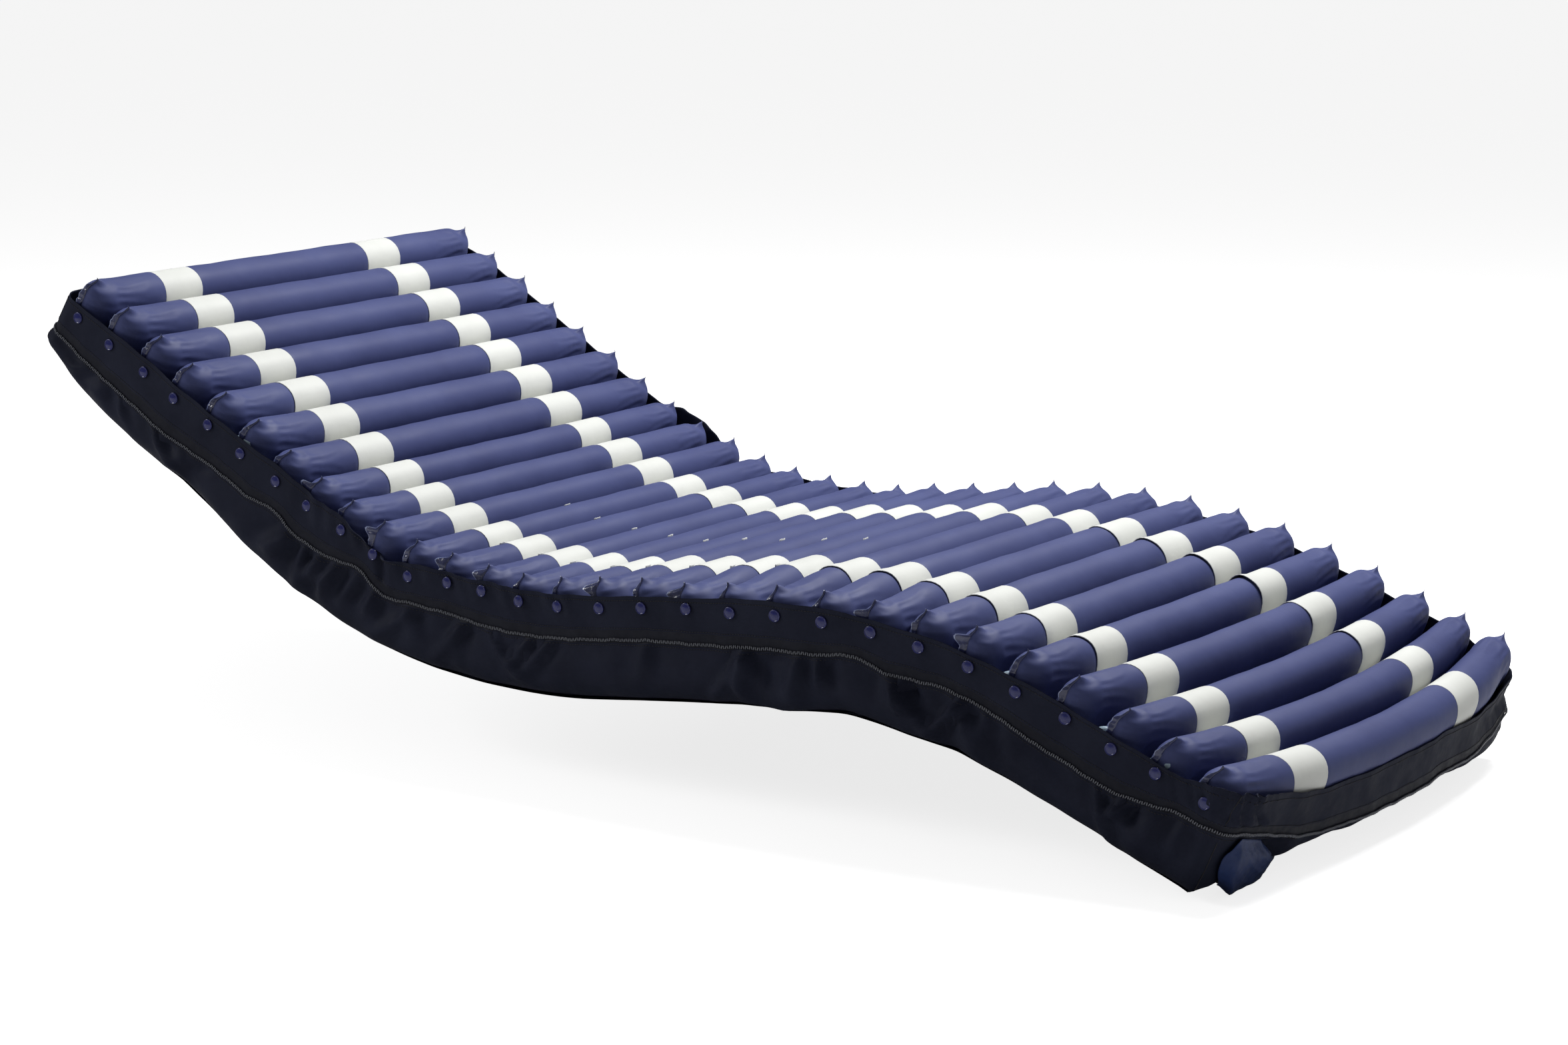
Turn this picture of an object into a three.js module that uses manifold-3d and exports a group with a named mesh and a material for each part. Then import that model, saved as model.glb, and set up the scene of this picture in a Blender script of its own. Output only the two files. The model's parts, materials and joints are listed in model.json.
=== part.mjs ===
// A pressure relief (alternating air) replacement mattress, posed with its backrest raised and its knees bent.
// Millimetres. +X runs from head to foot, +Y to the patient's left, +Z up.
// Twenty-nine transverse air cells stand in a zipped fabric base, held down by two ladder straps.
// The base and the straps are cut at six hinge lines, where the real fabric simply bends.
import * as THREE from 'three';
import { mergeVertices } from 'three/addons/utils/BufferGeometryUtils.js';
import Module from 'manifold-3d';

const wasm = await Module();
wasm.setup();
const { Manifold, Mesh: SolidMesh } = wasm;
const RADIANS = Math.PI / 180;

// ---- driving dimensions ----
const CELL_COUNT = 29;
const PITCH = 69; // spacing of the cells along the neutral line
const END_ROOM = 10; // between the last half pitch and each end wall
const NEUTRAL_HEIGHT = 80; // of the bending line and the hinges, above the underside
const CELL_LENGTH = 832; // across the bed, from tab to tab
const OUTER_WIDTH = 868; // over the side walls
const WALL = 2.5; // thickness of the coated fabric, stiffened
const RIM_HEIGHT = 134; // of the side walls above the underside

const BACK_SLOPE = -31 * RADIANS; // of the backrest stretch, falling towards the foot
const THIGH_SLOPE = 6.6 * RADIANS;
const LEG_SLOPE = -26 * RADIANS;

// The neutral line from head to foot: straight, hip arc, straight, knee arc, straight.
const HIP_BEND = THIGH_SLOPE - BACK_SLOPE;
const KNEE_BEND = LEG_SLOPE - THIGH_SLOPE;
const STRETCHES = [
  { length: 7 * PITCH, turn: 0 },
  { length: 8 * PITCH, turn: HIP_BEND },
  { length: 3.5 * PITCH, turn: 0 },
  { length: 8 * PITCH, turn: KNEE_BEND },
  { length: 2.5 * PITCH, turn: 0 },
];
const LINE_LENGTH = CELL_COUNT * PITCH;

// The rigid stretches of the chain, each with the cells it carries. Hinges sit in the valleys between them.
const SECTIONS = [
  { name: 'back', first: 1, last: 8 },
  { name: 'hip_1', first: 9, last: 11 },
  { name: 'hip_2', first: 12, last: 14 },
  { name: 'seat', first: 15, last: 20 },
  { name: 'knee_1', first: 21, last: 23 },
  { name: 'knee_2', first: 24, last: 26 },
  { name: 'leg', first: 27, last: 29 },
];
// How far each kind of hinge turns from this pose: shut lifts the tops together, open spreads them.
const HIP_TURN = { shut: 9.1 * RADIANS, open: 12.5 * RADIANS };
const KNEE_TURN = { shut: 10.8 * RADIANS, open: 4.1 * RADIANS };
const HINGE_CLEARANCE = 0.5;

// ---- air cells ----
const CELL_FLOOR = 5; // lowest point of a cell above the underside
const LOWER_LOBE = { halfWidth: 28, halfHeight: 41 };
const UPPER_LOBE = { halfWidth: 31, halfHeight: 43 };
const HIP_SQUEEZE = 0.93; // width of the cells that the hip arc presses together
const LOBE_POWER = 2.4; // 2 is an ellipse, more is squarer
const LOBE_OVERLAP = 4; // of the two lobes at the waist weld
const LOWER_CENTRE = CELL_FLOOR + LOWER_LOBE.halfHeight;
const UPPER_CENTRE = LOWER_CENTRE + LOWER_LOBE.halfHeight - LOBE_OVERLAP + UPPER_LOBE.halfHeight;

// ---- retention straps ----
const STRAP_WIDTH = 75;
const STRAP_THICKNESS = 1.2;
const STRAP_CLEARANCE = 1.3; // clears the flats of the faceted cells
const STRAP_CENTRES = { right: -255, left: 193 }; // as fitted, not symmetrical
const WEB_THICKNESS = 2.4; // two layers meeting in a valley
const STRAP_END_ANGLE = 48 * RADIANS; // past the crest, where a strap stops at a hinge
const STRAP_VALLEY_ANGLE = 66 * RADIANS;

// ---- zip and studs ----
const ZIP_HEIGHT = 74;
const ZIP_BEAD = { height: 6, proud: 2 };
const STUD = { radius: 8, proud: 2.6, height: 117, sides: 8 };

// ---- fittings ----
const GAP = 0.4; // between pieces that move past each other
const SLIDER = { length: 18, height: 13, plate: 3, fromHead: 45, earHeight: 4.6, earWidth: 1.5 };
const PULL = { length: 27, width: 8, thickness: 1.4, eye: 1.4, pin: 0.9 };
const CPR = { fromHead: 2 * PITCH, height: 105, flange: 17, boss: 12, bore: 8.4, depth: 12 };
const CONNECTOR = { across: -345, height: 36, width: 62, tall: 40, thick: 15, corner: 8 };
const PORTS = [{ across: 16, up: 9 }, { across: -16, up: -9 }]; // from the connector's middle
const NOZZLE = { radius: 5, bore: 3, reach: 10 };
const NIPPLE = { radius: 3.4, reach: 5 };
const BUTTON = { radius: 6, proud: 3.5, recess: 7 };
const FLAP = { across: -345, width: 106, thickness: 2.5, hingeHeight: 66, hingeOut: 4 };
const FEED_LINE = { radius: 4, fromWall: 10, across: -424, bend: 12, steps: 40 };

const COLOURS = {
  cell: new THREE.Color(0.075, 0.085, 0.2),
  strap: new THREE.Color(0.75, 0.76, 0.71),
  base: new THREE.Color(0.012, 0.013, 0.018),
  plastic: new THREE.Color(0.03, 0.03, 0.035),
  metal: new THREE.Color(0.5, 0.5, 0.52),
  red: new THREE.Color(0.55, 0.03, 0.03),
  blue: new THREE.Color(0.02, 0.05, 0.16),
  tube: new THREE.Color(0.5, 0.68, 0.85),
};

function material(colour, roughness, metalness = 0) {
  return new THREE.MeshStandardMaterial({ color: colour, roughness, metalness });
}

const MATERIALS = {
  cell: material(COLOURS.cell, 0.45),
  strap: material(COLOURS.strap, 0.6),
  base: material(COLOURS.base, 0.7),
  plastic: material(COLOURS.plastic, 0.4),
  metal: material(COLOURS.metal, 0.3, 1),
  red: material(COLOURS.red, 0.4),
  blue: material(COLOURS.blue, 0.75),
  tube: material(COLOURS.tube, 0.25),
};

const mattress = new THREE.Group();
const part = new THREE.Group();
part.add(mattress);

// ---- the neutral line ----

// Where the neutral line is at distance s from the head, and its slope there.
function lineAt(s) {
  let x = 0;
  let z = 0;
  let slope = BACK_SLOPE;
  let left = s;
  STRETCHES.forEach(({ length, turn }, index) => {
    const lastStretch = index === STRETCHES.length - 1;
    const run = lastStretch ? left : Math.min(left, length);
    if (run <= 0 && index > 0) {
      return;
    }
    const bend = (turn * run) / length;
    const chord = bend === 0 ? run : (run * Math.sin(bend / 2)) / (bend / 2);
    x += chord * Math.cos(slope + bend / 2);
    z += chord * Math.sin(slope + bend / 2);
    slope += bend;
    left -= run;
  });
  return { x, z, slope };
}

// A point in the side view at distance s along the mattress and the given height above its underside.
function sidePoint(s, height) {
  const { x, z, slope } = lineAt(s);
  const up = height - NEUTRAL_HEIGHT;
  return new THREE.Vector2(x - up * Math.sin(slope), z + up * Math.cos(slope));
}

function cellCentre(number) {
  return (number - 0.5) * PITCH;
}

// A group whose own X runs along the mattress and whose own Z is square to it, set on the underside at s.
function sideFrame(s) {
  const foot = sidePoint(s, 0);
  const frame = new THREE.Group();
  frame.position.set(foot.x, 0, foot.y);
  frame.rotation.y = -lineAt(s).slope;
  mattress.add(frame);
  return frame;
}

// ---- solids ----

// An outline in the side view, given thickness from y = from up to y = to.
function sideSlab(outline, from, to) {
  const shape = new THREE.Shape(outline);
  const slab = new THREE.ExtrudeGeometry(shape, { depth: to - from, steps: 1, bevelEnabled: false });
  slab.rotateX(Math.PI / 2);
  slab.translate(0, to, 0);
  return slab;
}

function toSolid(geometry) {
  const bare = geometry.clone();
  bare.deleteAttribute('normal');
  bare.deleteAttribute('uv');
  const merged = mergeVertices(bare, 1e-4);
  const solid = new SolidMesh({
    numProp: 3,
    vertProperties: new Float32Array(merged.attributes.position.array),
    triVerts: new Uint32Array(merged.index.array),
  });
  return Manifold.ofMesh(solid);
}

function toGeometry(solid) {
  const { vertProperties, triVerts } = solid.getMesh();
  const geometry = new THREE.BufferGeometry();
  geometry.setAttribute('position', new THREE.BufferAttribute(new Float32Array(vertProperties), 3));
  geometry.setIndex(new THREE.BufferAttribute(new Uint32Array(triVerts), 1));
  geometry.computeVertexNormals();
  return geometry;
}

function join(geometries) {
  return toGeometry(Manifold.union(geometries.map(toSolid)));
}

function cut(body, tools) {
  return toGeometry(toSolid(body).subtract(Manifold.union(tools.map(toSolid))));
}

function addPart(name, geometry, finish, parent = mattress) {
  const mesh = new THREE.Mesh(geometry, finish);
  mesh.name = name;
  parent.add(mesh);
  return mesh;
}

function box(width, depth, height, x, y, z) {
  const geometry = new THREE.BoxGeometry(width, depth, height);
  geometry.translate(x, y, z);
  return geometry;
}

// ---- air cells ----

// The half width of a lobe at an angle measured from straight up, on a squared-off ellipse.
function lobePoint(lobe, centre, angle, grow = 0) {
  const power = 2 / LOBE_POWER;
  const across = Math.sign(Math.sin(angle)) * Math.abs(Math.sin(angle)) ** power;
  const up = Math.sign(Math.cos(angle)) * Math.abs(Math.cos(angle)) ** power;
  return new THREE.Vector2(across * (lobe.halfWidth + grow), centre + up * (lobe.halfHeight + grow));
}

function isHipCell(number) {
  return number >= SECTIONS[0].last && number <= SECTIONS[3].first;
}

function squeezedLobe(lobe, number) {
  const share = isHipCell(number) ? HIP_SQUEEZE : 1;
  return { halfWidth: lobe.halfWidth * share, halfHeight: lobe.halfHeight };
}

// The figure-of-eight section of a cell: a round working lobe above, a static lobe below.
function cellSection(number) {
  const upper = squeezedLobe(UPPER_LOBE, number);
  const lower = squeezedLobe(LOWER_LOBE, number);
  const waist = 150 * RADIANS;
  const steps = 5;
  const right = [];
  for (let i = 0; i <= steps; i += 1) {
    right.push(lobePoint(upper, UPPER_CENTRE, (waist * (i + 0.25)) / (steps + 0.25)));
  }
  for (let i = 0; i <= steps; i += 1) {
    right.push(lobePoint(lower, LOWER_CENTRE, Math.PI - waist + (waist * i) / (steps + 0.25)));
  }
  const left = right.map((point) => new THREE.Vector2(-point.x, point.y)).reverse();
  return new THREE.Shape([...right, ...left].reverse());
}

// The cell is a tube of fabric welded flat across each end, so its section closes to a thin upright tab.
const CELL_STATIONS = [
  { at: 0, width: 0.05 },
  { at: 12, width: 0.08 },
  { at: 64, width: 1 },
  { at: CELL_LENGTH - 64, width: 1 },
  { at: CELL_LENGTH - 12, width: 0.08 },
  { at: CELL_LENGTH, width: 0.05 },
];

function cellGeometry(number) {
  const steps = CELL_STATIONS.length - 1;
  const tube = new THREE.ExtrudeGeometry(cellSection(number), {
    depth: steps,
    steps,
    bevelEnabled: false,
  });
  const places = tube.attributes.position;
  for (let i = 0; i < places.count; i += 1) {
    const station = CELL_STATIONS[Math.round(places.getZ(i))];
    places.setX(i, places.getX(i) * station.width);
    places.setZ(i, station.at);
  }
  tube.rotateX(Math.PI / 2);
  tube.translate(0, CELL_LENGTH / 2, 0);
  return toGeometry(toSolid(tube));
}

function addCells() {
  for (let number = 1; number <= CELL_COUNT; number += 1) {
    const name = `air_cell_${String(number).padStart(2, '0')}`;
    addPart(name, cellGeometry(number), MATERIALS.cell, sideFrame(cellCentre(number)));
  }
}

// ---- base cover ----

// How far a section's end stands back from its hinge line at a given height, so that the turn has room.
function hingeSetback(height, turn) {
  const above = height - NEUTRAL_HEIGHT;
  const angle = above > 0 ? turn.shut : turn.open;
  return HINGE_CLEARANCE + Math.abs(above) * Math.tan(angle / 2);
}

function sectionEnds(section) {
  const index = SECTIONS.indexOf(section);
  const turnAt = (side) => (side < 3 ? HIP_TURN : KNEE_TURN);
  return {
    start: (section.first - 1) * PITCH,
    end: section.last * PITCH,
    startTurn: index > 0 ? turnAt(index - 1) : null,
    endTurn: index < SECTIONS.length - 1 ? turnAt(index) : null,
  };
}

// The side outline of a band of the base between two heights, from one end of a section to the other.
function bandOutline(section, low, high) {
  const { start, end, startTurn, endTurn } = sectionEnds(section);
  const startAt = (height) => (startTurn ? start + hingeSetback(height, startTurn) : start - END_ROOM);
  const endAt = (height) => (endTurn ? end - hingeSetback(height, endTurn) : end + END_ROOM);
  const heights = low < NEUTRAL_HEIGHT && high > NEUTRAL_HEIGHT ? [low, NEUTRAL_HEIGHT, high] : [low, high];
  const along = (height) => {
    const between = [];
    for (let edge = section.first; edge < section.last; edge += 1) {
      between.push(sidePoint(edge * PITCH, height));
    }
    return between;
  };
  return [
    ...along(low),
    ...heights.map((height) => sidePoint(endAt(height), height)),
    ...along(high).reverse(),
    ...heights.map((height) => sidePoint(startAt(height), height)).reverse(),
  ];
}

// A snap stud cap on a side wall, a low drum.
function studCap(s, side) {
  const cap = new THREE.CylinderGeometry(STUD.radius, STUD.radius, STUD.proud + WALL / 2, STUD.sides);
  const middle = OUTER_WIDTH / 2 + STUD.proud / 2 - WALL / 4;
  const place = sidePoint(s, STUD.height);
  cap.translate(place.x, side * middle, place.y);
  return cap;
}

// An end wall of the base, square to the neutral line, with its own run of zip.
function endWall(outward) {
  const s = outward > 0 ? LINE_LENGTH + END_ROOM : -END_ROOM;
  const inner = s - outward * WALL;
  const outer = s + outward * ZIP_BEAD.proud;
  const half = OUTER_WIDTH / 2;
  const wall = [
    sidePoint(s, 0),
    sidePoint(s, RIM_HEIGHT),
    sidePoint(inner, RIM_HEIGHT),
    sidePoint(inner, 0),
  ];
  const zipLow = ZIP_HEIGHT - ZIP_BEAD.height / 2;
  const zipHigh = ZIP_HEIGHT + ZIP_BEAD.height / 2;
  const zip = [
    sidePoint(inner, zipLow),
    sidePoint(inner, zipHigh),
    sidePoint(outer, zipHigh),
    sidePoint(outer, zipLow),
  ];
  return [sideSlab(wall, -half, half), sideSlab(zip, -half, half)];
}

function coverGeometry(section) {
  const half = OUTER_WIDTH / 2;
  const pieces = [sideSlab(bandOutline(section, 0, WALL), -half, half)];
  const wall = bandOutline(section, 0, RIM_HEIGHT);
  const zip = bandOutline(section, ZIP_HEIGHT - ZIP_BEAD.height / 2, ZIP_HEIGHT + ZIP_BEAD.height / 2);
  [-1, 1].forEach((side) => {
    const inside = half - WALL;
    const outside = half + ZIP_BEAD.proud;
    pieces.push(sideSlab(wall, side > 0 ? inside : -half, side > 0 ? half : -inside));
    pieces.push(sideSlab(zip, side > 0 ? inside : -outside, side > 0 ? outside : -inside));
    for (let number = section.first; number <= section.last; number += 1) {
      pieces.push(studCap(cellCentre(number), side));
    }
  });
  if (section === SECTIONS[0]) {
    pieces.push(...endWall(-1));
  }
  if (section === SECTIONS[SECTIONS.length - 1]) {
    pieces.push(...endWall(1));
    return cut(join(pieces), nippleHoles());
  }
  return join(pieces);
}

// ---- retention straps ----

// The outline of one strap over a section's cells: an arch over every crest and a web down every valley.
function strapOutline(section) {
  const outer = [];
  const inner = [];
  const webFloor = WALL + 1;
  const webTop = UPPER_CENTRE - 6;
  for (let number = section.first; number <= section.last; number += 1) {
    const s = cellCentre(number);
    const { x, z, slope } = lineAt(s);
    const place = (point) => {
      const up = point.y - NEUTRAL_HEIGHT;
      const alongX = point.x * Math.cos(slope) - up * Math.sin(slope);
      const alongZ = point.x * Math.sin(slope) + up * Math.cos(slope);
      return new THREE.Vector2(x + alongX, z + alongZ);
    };
    const lobe = squeezedLobe(UPPER_LOBE, number);
    const isFirst = number === section.first;
    const isLast = number === section.last;
    const from = isFirst ? -STRAP_END_ANGLE : -STRAP_VALLEY_ANGLE;
    const to = isLast ? STRAP_END_ANGLE : STRAP_VALLEY_ANGLE;
    const steps = 8;
    for (let i = 0; i <= steps; i += 1) {
      const angle = from + ((to - from) * i) / steps;
      outer.push(place(lobePoint(lobe, UPPER_CENTRE, angle, STRAP_CLEARANCE + STRAP_THICKNESS)));
    }
    const innerFrom = isFirst ? from : -Math.PI / 2;
    const innerTo = isLast ? to : Math.PI / 2;
    for (let i = 0; i <= steps; i += 1) {
      const angle = innerFrom + ((innerTo - innerFrom) * i) / steps;
      inner.push(place(lobePoint(lobe, UPPER_CENTRE, angle, STRAP_CLEARANCE)));
    }
    if (!isLast) {
      const valley = number * PITCH;
      outer.push(sidePoint(valley, UPPER_CENTRE + 4));
      inner.push(sidePoint(valley - WEB_THICKNESS / 2, webTop));
      inner.push(sidePoint(valley - WEB_THICKNESS / 2, webFloor));
      inner.push(sidePoint(valley + WEB_THICKNESS / 2, webFloor));
      inner.push(sidePoint(valley + WEB_THICKNESS / 2, webTop));
    }
  }
  return [...outer, ...inner.reverse()].reverse();
}

function addSections() {
  SECTIONS.forEach((section) => {
    addPart(`base_cover_${section.name}`, coverGeometry(section), MATERIALS.base);
    Object.entries(STRAP_CENTRES).forEach(([side, centre]) => {
      const strap = sideSlab(strapOutline(section), centre - STRAP_WIDTH / 2, centre + STRAP_WIDTH / 2);
      addPart(`strap_${side}_${section.name}`, toGeometry(toSolid(strap)), MATERIALS.strap);
    });
  });
}

// ---- zip slider and pull ----

function cylinderAlong(axis, radius, length, x, y, z, sides = 12) {
  const cylinder = new THREE.CylinderGeometry(radius, radius, length, sides);
  if (axis === 'x') {
    cylinder.rotateZ(Math.PI / 2);
  }
  if (axis === 'z') {
    cylinder.rotateX(Math.PI / 2);
  }
  cylinder.translate(x, y, z);
  return cylinder;
}

// The slider straddles the zip on the left side wall near the head, and the pull hangs downhill from its pin.
function addZipSlider() {
  const frame = sideFrame(SLIDER.fromHead);
  const wallFace = OUTER_WIDTH / 2;
  const channelTop = wallFace + ZIP_BEAD.proud + GAP;
  const plateTop = channelTop + SLIDER.plate;
  const bodyDepth = plateTop - wallFace - GAP;
  const channelHeight = ZIP_BEAD.height + 2 * GAP;
  const pinY = plateTop + SLIDER.earHeight / 2 + GAP;
  const earZ = PULL.width / 4 + GAP + SLIDER.earWidth / 2;
  const body = box(SLIDER.length, bodyDepth, SLIDER.height, 0, plateTop - bodyDepth / 2, ZIP_HEIGHT);
  const channel = box(SLIDER.length + 2, channelTop - wallFace, channelHeight, 0, (channelTop + wallFace) / 2, ZIP_HEIGHT);
  const ears = [-1, 1].map((side) =>
    box(4, SLIDER.earHeight + 1, SLIDER.earWidth, 0, plateTop + SLIDER.earHeight / 2 - 0.5, ZIP_HEIGHT + side * earZ),
  );
  const pin = cylinderAlong('z', PULL.pin, 2 * earZ, 0, pinY, ZIP_HEIGHT, 8);
  addPart('zip_slider', join([cut(body, [channel]), ...ears, pin]), MATERIALS.metal, frame);

  const neck = PULL.width / 2;
  const eyeRim = cylinderAlong('z', PULL.eye + 0.7, neck, 0, pinY, ZIP_HEIGHT);
  const hole = cylinderAlong('z', PULL.eye, neck + 1, 0, pinY, ZIP_HEIGHT);
  const stem = box(6, PULL.thickness, neck, 4, pinY, ZIP_HEIGHT);
  const tab = box(PULL.length - 6, PULL.thickness, PULL.width, 6 + (PULL.length - 6) / 2, pinY, ZIP_HEIGHT);
  addPart('zip_pull', cut(join([eyeRim, stem, tab]), [hole]), MATERIALS.metal, frame);
}

// ---- rapid deflation valve ----

// A pull-out plug in a flanged socket on the left side wall near the head, for emergency deflation.
function addCprValve() {
  const frame = sideFrame(CPR.fromHead);
  const seat = new THREE.Group();
  seat.position.set(0, OUTER_WIDTH / 2 + 0.3, CPR.height);
  frame.add(seat);
  const floor = 3;
  const socket = [
    [0, 0], [CPR.flange, 0], [CPR.flange, 2], [CPR.boss, floor + 1],
    [CPR.boss, CPR.depth], [CPR.bore, CPR.depth], [CPR.bore, floor], [0, floor], [0, 0],
  ].map(([radius, along]) => new THREE.Vector2(radius, along));
  const body = toGeometry(toSolid(new THREE.LatheGeometry(socket, 20)));
  addPart('cpr_valve_body', body, MATERIALS.plastic, seat);

  const stemRadius = CPR.bore - GAP;
  const headBottom = CPR.depth + GAP;
  const headTop = headBottom + 4;
  const plug = [
    [0, floor + GAP], [stemRadius, floor + GAP], [stemRadius, headBottom], [CPR.boss + 1, headBottom],
    [CPR.boss + 1, headTop - 1], [CPR.boss, headTop], [0, headTop], [0, floor + GAP],
  ].map(([radius, along]) => new THREE.Vector2(radius, along));
  const ring = new THREE.TorusGeometry(8, 1.8, 6, 14);
  ring.translate(0, headTop + 6.5, 0);
  addPart('cpr_plug', join([new THREE.LatheGeometry(plug, 20), ring]), MATERIALS.red, seat);
}

// ---- hose connector, button, flap and feed lines ----

function roundedPlate(width, height, thickness, corner) {
  const shape = new THREE.Shape();
  const right = width / 2 - corner;
  const top = height / 2 - corner;
  shape.absarc(right, top, corner, 0, Math.PI / 2);
  shape.absarc(-right, top, corner, Math.PI / 2, Math.PI);
  shape.absarc(-right, -top, corner, Math.PI, 1.5 * Math.PI);
  shape.absarc(right, -top, corner, 1.5 * Math.PI, 2 * Math.PI);
  const plate = new THREE.ExtrudeGeometry(shape, { depth: thickness, bevelEnabled: false, curveSegments: 4 });
  plate.rotateX(Math.PI / 2);
  plate.rotateZ(Math.PI / 2);
  return plate;
}

// Everything at the foot end is built in a frame set on the outer face of the foot wall.
function addHoseOutlet() {
  const frame = sideFrame(LINE_LENGTH + END_ROOM);
  const { across, height, thick } = CONNECTOR;
  const back = 0.3;
  const front = back + thick;
  const plate = roundedPlate(CONNECTOR.width, CONNECTOR.tall, thick, CONNECTOR.corner);
  plate.computeBoundingBox();
  plate.translate(back - plate.boundingBox.min.x, across, height);
  const nozzles = PORTS.map((port) =>
    cylinderAlong('x', NOZZLE.radius, NOZZLE.reach + 1, front + NOZZLE.reach / 2 - 0.5, across + port.across, height + port.up),
  );
  const nipples = PORTS.map((port) =>
    cylinderAlong('x', NIPPLE.radius, NIPPLE.reach + 1, 0.5 - NIPPLE.reach / 2 + back, across + port.across, height + port.up),
  );
  const bores = PORTS.map((port) =>
    cylinderAlong('x', NOZZLE.bore, NOZZLE.reach + 8, front + NOZZLE.reach / 2 - 2, across + port.across, height + port.up),
  );
  const recess = cylinderAlong('x', BUTTON.radius + GAP, BUTTON.recess * 2, front, across, height, 16);
  const body = cut(join([plate, ...nozzles, ...nipples]), [...bores, recess]);
  addPart('hose_connector', body, MATERIALS.plastic, frame);

  const travelRoom = 3;
  const buttonLength = BUTTON.recess - travelRoom + BUTTON.proud;
  const buttonMiddle = front - BUTTON.recess + travelRoom + buttonLength / 2;
  const button = cylinderAlong('x', BUTTON.radius, buttonLength, buttonMiddle, across, height, 16);
  addPart('connector_button', toGeometry(toSolid(button)), MATERIALS.tube, frame);

  const flapCurve = new THREE.CubicBezierCurve(
    new THREE.Vector2(FLAP.hingeOut, FLAP.hingeHeight),
    new THREE.Vector2(FLAP.hingeOut + 30, FLAP.hingeHeight - 4),
    new THREE.Vector2(FLAP.hingeOut + 30, FLAP.hingeHeight - 30),
    new THREE.Vector2(FLAP.hingeOut + 27, 3),
  );
  const spine = flapCurve.getPoints(8);
  const outside = spine.map((point, index) => {
    const tangent = flapCurve.getTangentAt(index / 8);
    return new THREE.Vector2(point.x - tangent.y * FLAP.thickness, point.y + tangent.x * FLAP.thickness);
  });
  const flap = sideSlab([...spine, ...outside.reverse()].reverse(), across - FLAP.width / 2, across + FLAP.width / 2);
  addPart('hose_flap', toGeometry(toSolid(flap)), MATERIALS.blue, frame);

  // Each feed line leaves its nipple, turns along the foot wall, then runs up the right side towards the head.
  const legHinge = (SECTIONS[SECTIONS.length - 1].first - 1) * PITCH;
  const farEnd = legHinge + 12 - LINE_LENGTH - END_ROOM;
  const lineEnds = PORTS.map((port, index) => ({ name: `feed_line_${'ab'[index]}`, port }));
  lineEnds.forEach(({ name, port }) => {
    const z = height + port.up;
    const y = across + port.across;
    const tight = FEED_LINE.fromWall - NIPPLE.reach;
    const start = back - NIPPLE.reach - GAP;
    const turned = start - tight;
    const path = new THREE.CurvePath();
    const at = (px, py) => new THREE.Vector3(px, py, z);
    path.add(new THREE.QuadraticBezierCurve3(at(start, y), at(turned, y), at(turned, y - tight)));
    path.add(new THREE.LineCurve3(at(turned, y - tight), at(turned, FEED_LINE.across + FEED_LINE.bend)));
    path.add(new THREE.QuadraticBezierCurve3(
      at(turned, FEED_LINE.across + FEED_LINE.bend),
      at(turned, FEED_LINE.across),
      at(turned - FEED_LINE.bend, FEED_LINE.across),
    ));
    path.add(new THREE.LineCurve3(at(turned - FEED_LINE.bend, FEED_LINE.across), at(farEnd, FEED_LINE.across)));
    const rim = new THREE.Shape().absarc(0, 0, FEED_LINE.radius, 0, 2 * Math.PI);
    const hose = new THREE.ExtrudeGeometry(rim, { extrudePath: path, steps: FEED_LINE.steps, curveSegments: 4 });
    addPart(name, toGeometry(toSolid(hose)), MATERIALS.tube, frame);
  });
}

// Holes in the foot wall for the connector's nipples.
function nippleHoles() {
  const centre = lineAt(LINE_LENGTH + END_ROOM);
  const base = sidePoint(LINE_LENGTH + END_ROOM, 0);
  return PORTS.map((port) => {
    const hole = cylinderAlong('x', NIPPLE.radius + 1, 4 * WALL, 0, CONNECTOR.across + port.across, CONNECTOR.height + port.up);
    hole.rotateY(-centre.slope);
    hole.translate(base.x, 0, base.y);
    return hole;
  });
}

addCells();
addSections();
addZipSlider();
addCprValve();
addHoseOutlet();

// The origin is the middle of the flat underside of the seat stretch.
const SEAT_MIDDLE = (STRETCHES[0].length + STRETCHES[1].length) + STRETCHES[2].length / 2;
const origin = sidePoint(SEAT_MIDDLE, 0);
mattress.position.set(-origin.x, 0, -origin.y);

export default part;
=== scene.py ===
"""Looks for the pressure relief mattress: air cells, retention straps, zipped cover, press studs and fittings."""
import json
import math

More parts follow.
